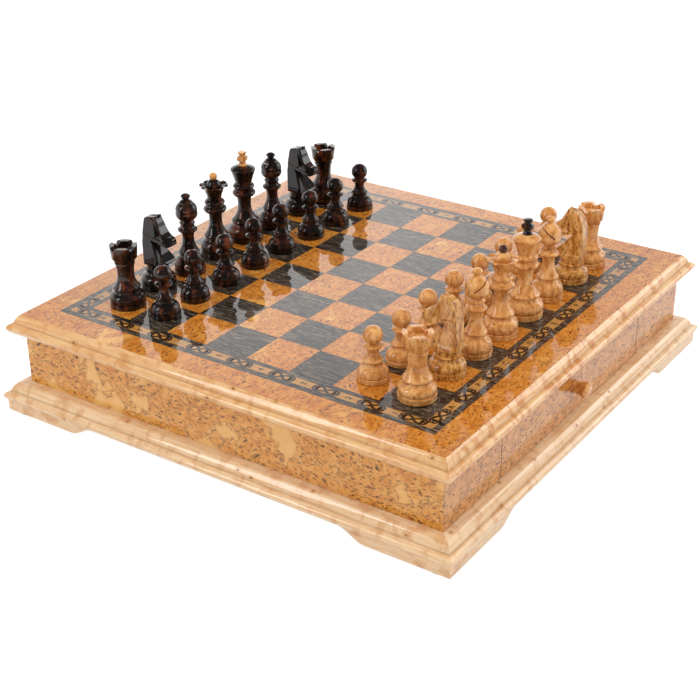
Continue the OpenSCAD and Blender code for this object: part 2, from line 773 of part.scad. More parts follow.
board_panel();
dark_squares();
light_squares();
dark_bands();
ornament_strip();
burl_border();
top_moulding();
side_walls();
end_cheeks();
bottom_panel();
drawer_dividers();
plinth_moulding();
feet();
foot_pads();
drawer_face(false);  // front_drawer_face
drawer_box(false);  // front_drawer_box
drawer_bottom(false);  // front_drawer_bottom
drawer_felt(false);  // front_drawer_felt
drawer_knob(false);  // front_drawer_knob
drawer_face(true);  // back_drawer_face
drawer_box(true);  // back_drawer_box
drawer_bottom(true);  // back_drawer_bottom
drawer_felt(true);  // back_drawer_felt
drawer_knob(true);  // back_drawer_knob
for (m = men) man(m);
for (m = royals) topper(m);
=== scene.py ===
# Chess set on a drawer case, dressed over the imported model: lacquered burl and
# birch, an inlaid strip with scrolls and the names of files and ranks, and
# thirty-two turned and carved men.
import math
from functools import partial

import bmesh
import bpy
from mathutils import Matrix, Vector


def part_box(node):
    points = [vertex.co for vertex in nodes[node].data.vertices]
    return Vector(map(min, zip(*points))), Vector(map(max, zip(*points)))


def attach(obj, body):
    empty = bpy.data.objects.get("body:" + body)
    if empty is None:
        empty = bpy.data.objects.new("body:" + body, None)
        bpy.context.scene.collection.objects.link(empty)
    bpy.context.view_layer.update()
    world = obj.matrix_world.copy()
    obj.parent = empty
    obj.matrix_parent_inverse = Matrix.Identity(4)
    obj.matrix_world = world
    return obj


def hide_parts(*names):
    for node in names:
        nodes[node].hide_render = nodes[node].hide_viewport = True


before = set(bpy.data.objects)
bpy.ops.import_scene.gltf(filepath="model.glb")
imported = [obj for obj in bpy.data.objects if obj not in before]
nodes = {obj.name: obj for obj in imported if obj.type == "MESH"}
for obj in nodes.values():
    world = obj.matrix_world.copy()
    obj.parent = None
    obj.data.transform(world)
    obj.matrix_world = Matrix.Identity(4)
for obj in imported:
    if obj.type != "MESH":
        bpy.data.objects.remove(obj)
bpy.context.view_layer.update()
mm = 0.001
smooth = {"interpolation_type": "SMOOTHSTEP"}
inColour = {"data_type": "RGBA"}


def colour(code):
    # sRGB hex to the linear values that a shader takes
    parts = [int(code[i:i + 2], 16) / 255 for i in (1, 3, 5)]
    return [c / 12.92 if c <= 0.04045 else ((c + 0.055) / 1.055) ** 2.4 for c in parts] + [1]


def addNode(tree, kind, inputs=None, stops=None, **settings):
    # A kind without Node in its name is a shader node. An input may be a plain value, a
    # socket, or a node, whose first live output is then taken.
    node = tree.nodes.new(kind if "Node" in kind else "ShaderNode" + kind)
    for name, value in settings.items():
        setattr(node, name, value)
    if stops:
        elements = node.color_ramp.elements
        while len(elements) < len(stops):
            elements.new(0.5)
        for element, (place, code) in zip(elements, stops):
            element.position = place
            element.color = colour(code)
    for key, value in (inputs or {}).items():
        socket = node.inputs[key] if isinstance(key, int) else next(
            s for s in node.inputs if s.enabled and s.name == key)
        if isinstance(value, bpy.types.Node):
            value = next(s for s in value.outputs if s.enabled)
        if isinstance(value, bpy.types.NodeSocket):
            tree.links.new(value, socket)
        else:
            socket.default_value = value
    return node


def emptied(owner):
    # Clears a material's or the world's nodes, and gives addNode for its tree
    owner.use_nodes = True
    owner.node_tree.nodes.clear()
    return partial(addNode, owner.node_tree)


def newMaterial(name):
    material = bpy.data.materials.new(name)
    return material, emptied(material)


def coated(add, finish, tone, relief, strength, depth, **settings):
    # Ends a material: finish has the shader's values that are the same all over, and
    # relief is the height of a light bump
    bump = add("Bump", {"Height": relief, "Strength": strength, "Distance": depth}, **settings)
    shader = add("BsdfPrincipled", {**finish, "Base Color": tone, "Normal": bump})
    add("OutputMaterial", {"Surface": shader})


def meshOf(name, verts, faces):
    mesh = bpy.data.meshes.new(name)
    mesh.from_pydata(verts, [], faces)
    mesh.validate()
    return mesh


def inScene(name, data):
    holder = bpy.data.objects.new(name, data)
    bpy.context.scene.collection.objects.link(holder)
    return holder


def evaluated(holder, *tools):
    # The mesh that an object's modifiers give, after which it and its tools are gone
    mesh = bpy.data.meshes.new_from_object(holder.evaluated_get(bpy.context.evaluated_depsgraph_get()))
    for thing in (holder, *tools):
        bpy.data.objects.remove(thing)
    return mesh


def finishPiece(name, mesh, material, body, *standsFor, sharp=35):
    # A piece that rides on a body and replaces the nodes it stands for. Its edges stay
    # sharp from so many degrees upwards.
    mesh.materials.clear()
    mesh.materials.append(material)
    mesh.shade_smooth()
    mesh.set_sharp_from_angle(angle=math.radians(sharp))
    piece = inScene(name, mesh)
    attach(piece, body)
    if standsFor:
        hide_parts(*standsFor)
    return piece


def outwards(mesh):
    # Turns every face of a closed mesh outwards
    shape = bmesh.new()
    shape.from_mesh(mesh)
    bmesh.ops.recalc_face_normals(shape, faces=shape.faces)
    shape.to_mesh(mesh)
    shape.free()


def joined(name, meshes):
    # One mesh of several
    shape = bmesh.new()
    for mesh in meshes:
        shape.from_mesh(mesh)
    mesh = bpy.data.meshes.new(name)
    shape.to_mesh(mesh)
    shape.free()
    return mesh


# Camera, floor and light: sizes and places in metres, angles in degrees, the lens in mm
camera = {
    "place": (-0.9536, -0.6434, 0.6261),
    "azimuth": 304.65,
    "elevation": 27.52,
    "roll": -0.71,
    "lens": 73.4,
}
studio = {
    "floorSize": 24.0,
    "floorColour": "#F4F3F1",
    "floorGlow": 0.92,  # keeps the paper white to the eye while a soft shadow still shows on it
    "floorShade": "#9A9A9A",
    "skyLight": 0.42,
    "roomShine": 0.12,  # what the lacquer sees of the dim room
    "wallShine": 1.9,  # and of the lit white wall beyond the set, low down
    "wallSide": (-0.35, 0.3),  # the wall comes in between these shares of the way round to the far side
    "wallTop": (0.58, 0.43),  # and between these steepnesses, from the top down
    # towards either end it fades from the first to the second place, to this share
    "wallEnds": [(-0.12, -0.22, 0.62), (0.0, 0.19, 0.6)],
    # name, size across and high, place, energy in watts, and whether the lacquer mirrors it
    "softboxes": [
        ("overheadBox", 1.2, 1.2, (-0.55, -0.1, 1.9), 12, False),
        ("backBox", 4.2, 1.3, (1.95, 1.35, 0.85), 17, False),
        ("leftBox", 0.35, 1.1, (-1.5, 0.9, 0.95), 9, True),
        ("frontBox", 1.2, 1.3, (0.1, -1.4, 1.4), 10, False),
        ("farRightBox", 0.5, 1.1, (1.35, -1.0, 0.85), 5, True),
    ],
}


def setCamera():
    data = bpy.data.cameras.new("setCamera")
    data.lens = camera["lens"]
    data.sensor_width = 36
    data.clip_start, data.clip_end = 0.01, 60
    a, e = math.radians(camera["azimuth"]), math.radians(camera["elevation"])
    back = Vector((math.sin(a) * math.cos(e), -math.cos(a) * math.cos(e), math.sin(e)))
    turn = (-back).to_track_quat("-Z", "Y").to_matrix() @ Matrix.Rotation(math.radians(camera["roll"]), 3, "Z")
    holder = inScene("setCamera", data)
    holder.location = camera["place"]
    holder.rotation_euler = turn.to_euler()
    bpy.context.scene.camera = holder


def setStudio():
    # Floor that reads as white paper, and keeps a soft shadow where the pads stand
    half = studio["floorSize"] / 2
    corners = [(-half, -half, 0), (half, -half, 0), (half, half, 0), (-half, half, 0)]
    mesh = meshOf("paperFloor", corners, [(0, 1, 2, 3)])
    inScene("paperFloor", mesh)
    material, add = newMaterial("matteWhitePaper")
    paper = add("BsdfDiffuse", {"Color": colour(studio["floorColour"]), "Roughness": 1.0})
    glow = add("Emission", {"Color": (1, 1, 1, 1), "Strength": studio["floorGlow"]})
    dimPaper = add("BsdfDiffuse", {"Color": colour(studio["floorShade"]), "Roughness": 1.0})
    lit = add("AddShader", {0: glow, 1: dimPaper})
    path = add("LightPath")
    seen = add("Math", {0: path.outputs["Is Camera Ray"], 1: path.outputs["Is Glossy Ray"]},
               operation="MAXIMUM")
    mixed = add("MixShader", {0: seen, 1: paper, 2: lit})
    add("OutputMaterial", {"Surface": mixed})
    mesh.materials.append(material)

    # Room: white to the camera. To the lacquer it is a lit wall beyond the set, which
    # fades upwards, towards the near side and towards its two ends.
    world = bpy.data.worlds.new("softStudio")
    bpy.context.scene.world = world
    add = emptied(world)
    path = add("LightPath")
    ray = add("TexCoord")
    a = math.radians(camera["azimuth"])
    beyond = add("VectorMath", {0: ray.outputs["Generated"], 1: (-math.sin(a), math.cos(a), 0.0)},
                 operation="DOT_PRODUCT")
    farSide = add("MapRange", {"Value": beyond.outputs["Value"], "From Min": studio["wallSide"][0],
                               "From Max": studio["wallSide"][1]}, **smooth)
    height = add("SeparateXYZ", {0: ray.outputs["Generated"]})
    lowDown = add("MapRange", {"Value": height.outputs["Z"], "From Min": studio["wallTop"][0],
                               "From Max": studio["wallTop"][1]}, **smooth)
    wall = add("Math", {0: farSide, 1: lowDown}, operation="MULTIPLY")
    across = add("VectorMath", {0: ray.outputs["Generated"], 1: (math.cos(a), math.sin(a), 0.0)},
                 operation="DOT_PRODUCT")
    for start, end, left in studio["wallEnds"]:
        fade = add("MapRange", {"Value": across.outputs["Value"], "From Min": start, "From Max": end,
                                "To Min": 1.0, "To Max": left}, **smooth)
        wall = add("Math", {0: wall, 1: fade}, operation="MULTIPLY")
    shine = add("Mix", {"Factor": wall, "A": studio["roomShine"], "B": studio["wallShine"]})
    level = add("Mix", {"Factor": path.outputs["Is Glossy Ray"], "A": studio["skyLight"], "B": shine})
    level = add("Mix", {"Factor": path.outputs["Is Camera Ray"], "A": level, "B": 1.0})
    sky = add("Background", {"Color": (1, 1, 1, 1), "Strength": level})
    add("OutputWorld", {"Surface": sky})

    for name, across, high, place, energy, mirrored in studio["softboxes"]:
        data = bpy.data.lights.new(name, "AREA")
        data.shape, data.size, data.size_y, data.energy = "RECTANGLE", across, high, energy
        lamp = inScene(name, data)
        lamp.location = place
        lamp.visible_glossy = mirrored
        lamp.rotation_euler = (Vector((0, 0, 0.1)) - Vector(place)).to_track_quat("-Z", "Y").to_euler()
    bpy.context.scene.view_settings.view_transform = "Standard"


setCamera()
setStudio()
print("camera, floor and light are set")


# Finishes
# Every outer face of wood is under a rubbed-out clear lacquer: a mirror coat over the wood
lacquer = {"Roughness": 0.45, "Specular IOR Level": 0.12, "Coat Weight": 1.0, "Coat Roughness": 0.015,
           "Coat IOR": 1.45}
sideShift = 731.0  # mm that two of the four sides have their pattern shifted by, so that it doesn't repeat


def objectPlace(add):
    # Object coordinates in millimetres
    here = add("TexCoord")
    return add("Mapping", {"Vector": here.outputs["Object"], "Scale": (1000, 1000, 1000)})


def stirred(add, place, size, reach):
    # Pushes a pattern about by swirls so many mm across, as growth round buds pushes the grain
    stir = add("TexNoise", {"Vector": place, "Scale": 1 / size, "Detail": 2})
    centred = add("VectorMath", {0: stir.outputs["Color"], 1: (0.5, 0.5, 0.5)}, operation="SUBTRACT")
    return add("VectorMath", {0: centred, 1: (reach, reach, reach), 2: place}, operation="MULTIPLY_ADD")


def perPiece(add, place, pitch, reach):
    # Gives every square of the field its own piece of veneer, cut up to so many mm away
    cell = add("VectorMath", {0: place, 1: (pitch, pitch, 1000)}, operation="SNAP")
    dice = add("TexWhiteNoise", {"Vector": cell}, noise_dimensions="3D")
    return add("VectorMath", {0: dice.outputs["Color"], 1: (reach, reach, reach), 2: place},
               operation="MULTIPLY_ADD")


def alongSides(add, place):
    # (along the side, up, across) for anything that runs round the case in four mitred lengths
    parts = add("SeparateXYZ", {"Vector": place})
    sizeX = add("Math", {0: parts.outputs["X"]}, operation="ABSOLUTE")
    sizeY = add("Math", {0: parts.outputs["Y"]}, operation="ABSOLUTE")
    onSide = add("Math", {0: sizeX, 1: sizeY}, operation="GREATER_THAN")
    along = add("Mix", {"Factor": onSide, "A": parts.outputs["X"], "B": parts.outputs["Y"]})
    across = add("Mix", {"Factor": onSide, "A": parts.outputs["Y"], "B": parts.outputs["X"]})
    shifted = add("Math", {0: onSide, 1: sideShift, 2: along}, operation="MULTIPLY_ADD")
    return add("CombineXYZ", {"X": shifted, "Y": parts.outputs["Z"], "Z": across})


def fleckMask(add, dash, swirl, pitch, clump, needed, edge, clumpDetail=2, most=1.0, **flat):
    # Short dashes in clusters. needed is what a dash's dice and its cluster must come to
    # together, from faint to full, and edge is how far from its middle a dash fades and is
    # full. Gives the mask, and the dice for what differs from dash to dash.
    specks = add("TexVoronoi", {"Vector": dash, "Scale": 1 / pitch}, **flat)
    dice = add("SeparateColor", {"Color": specks.outputs["Color"]}).outputs
    clumps = add("TexNoise", {"Vector": swirl, "Scale": 1 / clump, "Detail": clumpDetail})
    wanted = add("Math", {0: dice["Red"], 1: clumps.outputs[0]}, operation="ADD")
    wanted = add("MapRange", {"Value": wanted, "From Min": needed[0], "From Max": needed[1], "To Max": most},
                 **smooth)
    spot = add("MapRange", {"Value": specks.outputs["Distance"], "From Min": edge[0], "From Max": edge[1]},
               **smooth)
    return add("Math", {0: spot, 1: wanted}, operation="MULTIPLY"), dice


burl = {
    "swirl": (34, 26),  # mm across the wide swirls of the grain, and how far they push it
    "curl": (5.5, 4.2),  # and the tight ones
    "patch": 36.0,  # mm across a plain or figured patch
    "mottle": 7,  # mm across the mottling inside a patch
    "budding": 5.0,  # mm between bird's-eye loops
    "broken": 2.2,  # mm between the breaks in a loop
    "clump": 12,  # mm across a cluster of flecks
    "tail": 0.36,  # a fleck's width as a share of its length
    # Colours, and mm between flecks: the top is redder and finer-flecked than the walls
    "top": {"plain": "#E8AC56", "pale": "#E09E48", "honey": "#D2822A", "deep": "#B2651C", "rim": "#93501C",
            "loop": "#8A461A", "fleck": "#5E2410", "pitch": 2.1},
    "wall": {"plain": "#F4C27C", "pale": "#F0B664", "honey": "#E59E46", "deep": "#C4762C", "rim": "#8E4A18",
             "loop": "#74390F", "fleck": "#522508", "pitch": 2.6},
    # The front and back are the walls' burl, tinted darker and pinker as painted shade and painted reflection
    "front": {"plain": "#EAB276", "pale": "#E3A664", "honey": "#D68F42", "deep": "#AE6C28", "rim": "#884618",
              "loop": "#74390F", "fleck": "#522508", "pitch": 2.6},
}


def burlVeneer(name, tint, squares=0, upright=False, plain=0.4, lean=0.3, crowded=1.2):
    # Karelian birch burl: honey ground, plain and figured patches with a brown rim,
    # loops round buds, and clusters of short dark flecks. plain sets the share of plain
    # patches, lean how the flecks lie, and crowded how many there are.
    material, add = newMaterial(name)
    place = objectPlace(add)
    if upright:
        place = alongSides(add, place)
    if squares:
        place = perPiece(add, place, squares, 900)
    swirl = stirred(add, place, *burl["swirl"])
    curl = stirred(add, swirl, *burl["curl"])
    figure = add("TexNoise", {"Vector": swirl, "Scale": 1 / burl["patch"], "Detail": 3, "Roughness": 0.55})
    figured = add("MapRange", {"Value": figure.outputs[0], "From Min": plain - 0.07, "From Max": plain + 0.05},
                  **smooth)
    mottle = add("TexNoise", {"Vector": curl, "Scale": 1 / burl["mottle"], "Detail": 6, "Roughness": 0.68})
    plainTone = add("ValToRGB", {"Fac": mottle.outputs[0]}, stops=[(0.42, tint["pale"]), (0.62, tint["plain"])])
    deepTone = add("ValToRGB", {"Fac": mottle.outputs[0]}, stops=[(0.34, tint["deep"]), (0.5, tint["honey"]),
                                                                  (0.7, tint["pale"])])
    tone = add("Mix", {"Factor": figured, "A": plainTone, "B": deepTone}, **inColour)

    # Brown rim where figure meets plain wood
    away = add("Math", {0: figure.outputs[0], 1: plain - 0.01}, operation="SUBTRACT")
    away = add("Math", {0: away}, operation="ABSOLUTE")
    rim = add("MapRange", {"Value": away, "From Min": 0.008, "From Max": 0.002, "To Max": 0.6}, **smooth)

    # Loops round the buds, broken here and there
    buds = add("TexVoronoi", {"Vector": curl, "Scale": 1 / burl["budding"]}, voronoi_dimensions="2D")
    ring = add("Math", {0: buds.outputs["Distance"], 1: 0.38}, operation="SUBTRACT")
    ring = add("Math", {0: ring}, operation="ABSOLUTE")
    ring = add("MapRange", {"Value": ring, "From Min": 0.08, "From Max": 0.03, "To Max": 0.7}, **smooth)
    broken = add("TexNoise", {"Vector": place, "Scale": 1 / burl["broken"], "Detail": 1})
    whole = add("MapRange", {"Value": broken.outputs[0], "From Min": 0.5, "From Max": 0.6}, **smooth)
    loops = ring
    for share in (whole, figured):
        loops = add("Math", {0: loops, 1: share}, operation="MULTIPLY")

    # Flecks, some of them nearly black and some only brown, fewer in the plain patches
    dash = add("Mapping", {"Vector": curl, "Rotation": (0, 0, lean), "Scale": (burl["tail"], 1, 1)})
    flecks, dice = fleckMask(add, dash, swirl, tint["pitch"], burl["clump"], (2.02 - crowded, 2.12 - crowded),
                             (0.32, 0.19), voronoi_dimensions="2D")
    inFigure = add("MapRange", {"Value": figure.outputs[0], "From Min": plain - 0.06, "From Max": plain + 0.02},
                   **smooth)
    depth = add("MapRange", {"Value": dice["Green"], "To Min": 0.35})
    for share in (inFigure, depth):
        flecks = add("Math", {0: flecks, 1: share}, operation="MULTIPLY")
    for share, shade in ((rim, "rim"), (loops, "loop"), (flecks, "fleck")):
        tone = add("Mix", {"Factor": share, "A": tone, "B": colour(tint[shade])}, **inColour)
    coated(add, lacquer, tone, flecks, 0.08, 0.0001, invert=True)
    return material


stained = {"dark": "#0E0A08", "mid": "#332A22", "light": "#7C6B59", "run": 24.0, "width": 1.4}


def stainedVeneer(name, squares=0):
    # Birch stained grey-brown: fine wavy grain from player to player, darker in its hollows
    material, add = newMaterial(name)
    place = objectPlace(add)
    if squares:
        place = perPiece(add, place, squares, 700)
    wavy = stirred(add, place, 14, 7)
    grain = add("Mapping",
                {"Vector": wavy, "Scale": (1 / stained["width"], 1 / stained["run"], 1 / stained["width"])})
    lines = add("TexNoise", {"Vector": grain, "Scale": 1.0, "Detail": 5, "Roughness": 0.6})
    tone = add("ValToRGB", {"Fac": lines.outputs[0]}, stops=[(0.38, stained["dark"]), (0.5, stained["mid"]),
                                                             (0.64, stained["light"])])
    coated(add, lacquer, tone, lines.outputs[0], 0.1, 0.0001)
    return material


birch = {
    # The last colour here is painted shade for the mouldings' inside corners
    "cream": "#F7D6AC", "tan": "#E8B986", "curl": "#CC8440", "knot": "#5E3214", "crease": "#9A6230",
    "strip": {"cream": "#C08B48", "tan": "#AB7233"},
    "warm": {"cream": "#F0C48E", "tan": "#DFA26A"},
}


def paleBirch(name, curl=0.5, barred=9, knots=0, tint=birch):
    # Solid birch: cream with long faint grain, soft bars of curl across it so many mm wide,
    # small knots about so many mm apart, and painted shade that darkens the inside corners,
    # where the piece's attribute for that shade says so
    material, add = newMaterial(name)
    place = alongSides(add, objectPlace(add))
    loose = stirred(add, place, 40, 9)
    grain = add("Mapping", {"Vector": loose, "Scale": (1 / 60, 1 / 2.2, 1 / 2.2)})
    lines = add("TexNoise", {"Vector": grain, "Scale": 1.0, "Detail": 4, "Roughness": 0.55})
    tone = add("ValToRGB", {"Fac": lines.outputs[0]}, stops=[(0.3, tint["tan"]), (0.6, tint["cream"])])
    bars = add("Mapping", {"Vector": stirred(add, loose, 9, 8), "Rotation": (0, 0.5, 0.4),
                           "Scale": (1 / barred, 1 / 15, 1 / 15)})
    flame = add("TexNoise", {"Vector": bars, "Scale": 1.0, "Detail": 3, "Roughness": 0.55})
    share = add("MapRange", {"Value": flame.outputs[0], "From Min": 0.47, "From Max": 0.68, "To Max": curl},
                **smooth)
    tone = add("Mix", {"Factor": share, "A": tone, "B": colour(birch["curl"])}, **inColour)
    if knots:
        at = add("SeparateXYZ", {0: place})
        girth = add("Math", {0: at.outputs["Y"], 1: at.outputs["Z"]}, operation="ADD")
        wrapped = add("CombineXYZ", {"X": at.outputs["X"], "Y": girth})
        buds = add("TexVoronoi", {"Vector": stirred(add, wrapped, 3, 2.4), "Scale": 1 / knots},
                   voronoi_dimensions="2D")
        reach = add("Mapping", {"Vector": place, "Scale": (0.6, 1, 1)})
        ragged = add("TexNoise", {"Vector": reach, "Scale": 0.5, "Detail": 2})
        size = add("Math", {0: ragged.outputs[0], 1: -0.03, 2: buds.outputs["Distance"]},
                   operation="MULTIPLY_ADD")
        for far, near, share, code in ((0.07, 0.0, 0.6, birch["curl"]), (0.012, -0.004, 0.8, birch["knot"])):
            knot = add("MapRange", {"Value": size, "From Min": far, "From Max": near, "To Max": share},
                       **smooth)
            tone = add("Mix", {"Factor": knot, "A": tone, "B": colour(code)}, **inColour)
    # Painted shade: darkens the inside corners where the piece's attribute says so
    crease = add("Attribute", attribute_name="crease")
    tone = add("Mix", {"Factor": crease.outputs["Fac"], "A": tone, "B": colour(birch["crease"])}, **inColour)
    coated(add, lacquer, tone, lines.outputs[0], 0.05, 0.0001)
    return material


turned = {
    # size is a cloud's, in mm across and along the grain
    "light": {"ground": "#D8934F", "pale": "#EBB06E", "streak": "#C07C3C", "fleck": "#4A210D",
              "size": (4.0, 10.0)},
    "figured": {"ground": "#C8873E", "pale": "#DFA75F", "streak": "#9C5C22", "fleck": "#42200E",
                "size": (3.5, 12.0)},
    "dark": {"ground": "#0B0605", "pale": "#2A130C", "streak": "#71381F", "fleck": "#060303",
             "size": (6.0, 14.0)},
}


def turnedWood(name, wood, flecked=0.4, cloudy=0.0):
    # Turned birch: grain up the man, swirled by burl, with streaks and short flecks.
    # The dark men are stained nearly black, and the burl shows as red-brown clouds.
    look = turned[wood]
    material, add = newMaterial(name)
    place = objectPlace(add)
    swirl = stirred(add, stirred(add, place, 18, 12), 6, 2.2)
    across, along = look["size"]
    grain = add("Mapping", {"Vector": swirl, "Scale": (1 / across, 1 / across, 1 / along)})
    clouds = add("TexNoise", {"Vector": grain, "Scale": 1.0, "Detail": 3, "Roughness": 0.55})
    if wood == "dark":
        stops = [(0.4 - cloudy, look["ground"]), (0.54 - cloudy, look["pale"]), (0.72 - cloudy, look["streak"])]
    else:
        stops = [(0.34, look["streak"]), (0.47, look["ground"]), (0.6, look["pale"])]
    tone = add("ValToRGB", {"Fac": clouds.outputs[0]}, stops=stops)
    dash = add("Mapping", {"Vector": stirred(add, swirl, 4, 2.2), "Scale": (1, 1, 0.26)})
    flecks = fleckMask(add, dash, swirl, 1.7, 11, (1.42 - flecked, 1.5 - flecked), (0.36, 0.16), clumpDetail=1,
                       most=0.8)[0]
    tone = add("Mix", {"Factor": flecks, "A": tone, "B": colour(look["fleck"])}, **inColour)
    coated(add, lacquer, tone, flecks, 0.08, 0.0001, invert=True)
    return material


def plainWood(name, dark, light, run, width, finish):
    # Panels, drawer stock and inlay: straight grain along X
    material, add = newMaterial(name)
    place = stirred(add, objectPlace(add), 60, 8)
    grain = add("Mapping", {"Vector": place, "Scale": (1 / run, 1 / width, 1 / width)})
    lines = add("TexNoise", {"Vector": grain, "Scale": 1.0, "Detail": 5, "Roughness": 0.6})
    tone = add("ValToRGB", {"Fac": lines.outputs[0]}, stops=[(0.35, dark), (0.65, light)])
    coated(add, finish, tone, lines.outputs[0], 0.15, 0.0002)
    return material


def greenFelt(name):
    # Wool felt: matt, with fibres pressed flat in every direction
    material, add = newMaterial(name)
    place = objectPlace(add)
    fibre = add("TexNoise", {"Vector": stirred(add, place, 1.5, 2), "Scale": 1.6, "Detail": 4,
                             "Roughness": 0.7})
    tone = add("ValToRGB", {"Fac": fibre.outputs[0]}, stops=[(0.3, "#24402A"), (0.7, "#3F6644")])
    coated(add, {"Roughness": 0.95, "Sheen Weight": 0.5, "Sheen Roughness": 0.5}, tone, fibre.outputs[0], 0.6,
           0.0004)
    return material


def padRubber(name):
    # Moulded rubber pad with a faint grained skin
    material, add = newMaterial(name)
    skin = add("TexNoise", {"Vector": objectPlace(add), "Scale": 2.0, "Detail": 3})
    tone = add("ValToRGB", {"Fac": skin.outputs[0]}, stops=[(0.3, "#1E1814"), (0.7, "#352B25")])
    coated(add, {"Roughness": 0.75}, tone, skin.outputs[0], 0.3, 0.0002)
    return material


squareSide = 42.0
satin = {"Roughness": 0.5, "IOR": 1.5}
finishes = {
    # Orange, busy burl that changes from square to square; the border is one sheet of it
    "burlSquares": burlVeneer("lacqueredBurlSquares", burl["top"], squares=squareSide, plain=0.36, lean=0.2,
                              crowded=1.12),
    "burlBorder": burlVeneer("lacqueredBurlBorder", burl["top"], plain=0.36, lean=0.6, crowded=1.15),
    # Yellower burl with smooth islands on the walls; on the front and back the same burl tinted darker and
    # pinker, as painted shade and painted reflection, and evenly flecked
    "burlWalls": burlVeneer("lacqueredBurlWalls", burl["wall"], upright=True, plain=0.44, lean=0.7,
                            crowded=1.28),
    "burlFront": burlVeneer("lacqueredBurlFront", burl["front"], upright=True, plain=0.3, lean=0.9,
                            crowded=1.3),
    # Grey-brown with fine silvery lines, in squares and in long bands
    "stainedSquares": stainedVeneer("lacqueredStainedSquares", squares=squareSide),
    "stainedBands": stainedVeneer("lacqueredStainedBands"),
    # Cream solid wood: plain golden strip, knotty plinth, warmer top moulding with flame along its front, feet
    "strip": paleBirch("lacqueredStripBirch", curl=0.2, tint=birch["strip"]),
    "birch": paleBirch("lacqueredPaleBirch", curl=0.45, knots=50),
    "warmBirch": paleBirch("lacqueredWarmBirch", curl=0.6, knots=60, tint=birch["warm"]),
    "curlyBirch": paleBirch("lacqueredCurlyBirch", curl=1.0, barred=7, tint=birch["warm"]),
    "birchFeet": paleBirch("lacqueredFootBirch", curl=0.6, barred=20),
    # Scorched wood: nearly black scrolls, and letters that have faded to brown
    "inlay": plainWood("scorchedInlay", "#1C110A", "#3A2416", 6, 1.2, lacquer),
    "inlayFaint": plainWood("scorchedLetters", "#442812", "#64401F", 6, 1.2, lacquer),
    # Honey-coloured men, the knights among them browner and full of flecks
    "light": turnedWood("lacqueredLightBirch", "light", flecked=0.22),
    "lightFlecked": turnedWood("lacqueredFleckedBirch", "figured", flecked=0.95),
    # Nearly black men with clouds like tortoiseshell, the knights among them almost plain
    "dark": turnedWood("lacqueredBlackBrown", "dark"),
    "darkPlain": turnedWood("lacqueredPlainBlackBrown", "dark", cloudy=-0.1),
    # Knobs of the light men's wood, with a few more flecks
    "knob": turnedWood("lacqueredKnobBirch", "light", flecked=0.3),
    # Dull pale wood that nobody polished, inside the case and the drawers
    "plywood": plainWood("birchPlywood", "#C79E66", "#DDBB88", 60, 2.5, satin),
    "drawerBirch": plainWood("waxedDrawerBirch", "#CBA26C", "#E2C393", 70, 2.0, satin),
    # Painted shadow in the narrow gaps beside the drawers: nearly black skins on the edges of the veneered
    # boards
    "endGrain": plainWood("soakedEndGrain", "#1C0D06", "#38200F", 6, 1.2, satin),
    # Matt green cloth that takes up the light, and dull, nearly black pads
    "felt": greenFelt("greenWoolFelt"),
    "rubber": padRubber("mouldedPadRubber"),
}
print("finishes are made:", len(finishes))


# Case: mouldings and feet
# Sizes in mm, of both mouldings
moulding = {
    "coveWidth": 4.8,
    "coveHeight": 6.8,
    "coveBow": 0.7,
    "step": 0.8,
    "fillet": 1.0,
    "bullnoseBow": 3.3,
    "footWidth": 7.6,
    "under": 28.2,  # how far the plinth reaches in under the wall
    "mitreGap": 0.1,
    "softEdge": 0.35,
    "crease": 0.4,  # how dark the painted shade is in the inside corner
    # how far from the inside corner the painted shade reaches, in mm
    "creaseReach": 1.7,
}


def bowedLine(a, b, bow, steps):
    # Points from a towards b on a shallow arc that swells bow to the right of the way
    run, rise = b[0] - a[0], b[1] - a[1]
    length = math.hypot(run, rise)
    if bow == 0 or length == 0:
        return [a]
    points = []
    for i in range(steps):
        t = i / steps
        swell = 4 * t * (1 - t) * bow
        points.append((a[0] + run * t + rise / length * swell, a[1] + rise * t - run / length * swell))
    return points


def softened(points, radius):
    # Rounds every corner of an open outline that turns by more than 20 degrees
    done = [points[0]]
    for before, here, after in zip(points, points[1:], points[2:]):
        a, b = Vector(before) - Vector(here), Vector(after) - Vector(here)
        reach = min(radius, a.length * 0.4, b.length * 0.4)
        if a.length == 0 or b.length == 0 or math.pi - a.angle(b) < math.radians(20) or reach < 0.02:
            done.append(here)
            continue
        start, end = Vector(here) + a.normalized() * reach, Vector(here) + b.normalized() * reach
        for t in (0, 0.33, 0.67, 1):
            done.append(tuple(start * (1 - t) ** 2 + Vector(here) * 2 * t * (1 - t) + end * t ** 2))
    return done + [points[-1]]


def mouldingSection(height):
    # Outwards and down from the top inner edge: cove, step and bullnose
    m = moulding
    low = m["coveHeight"] + m["step"]
    cove = bowedLine((0, 0), (m["coveWidth"], -m["coveHeight"]), -m["coveBow"], 8)
    nose = bowedLine((m["coveWidth"] + m["fillet"], -low), (m["footWidth"], -height), -m["bullnoseBow"], 16)
    step = [(m["coveWidth"], -m["coveHeight"]), (m["coveWidth"], -low)]
    return cove + step + nose + [(m["footWidth"], -height)]


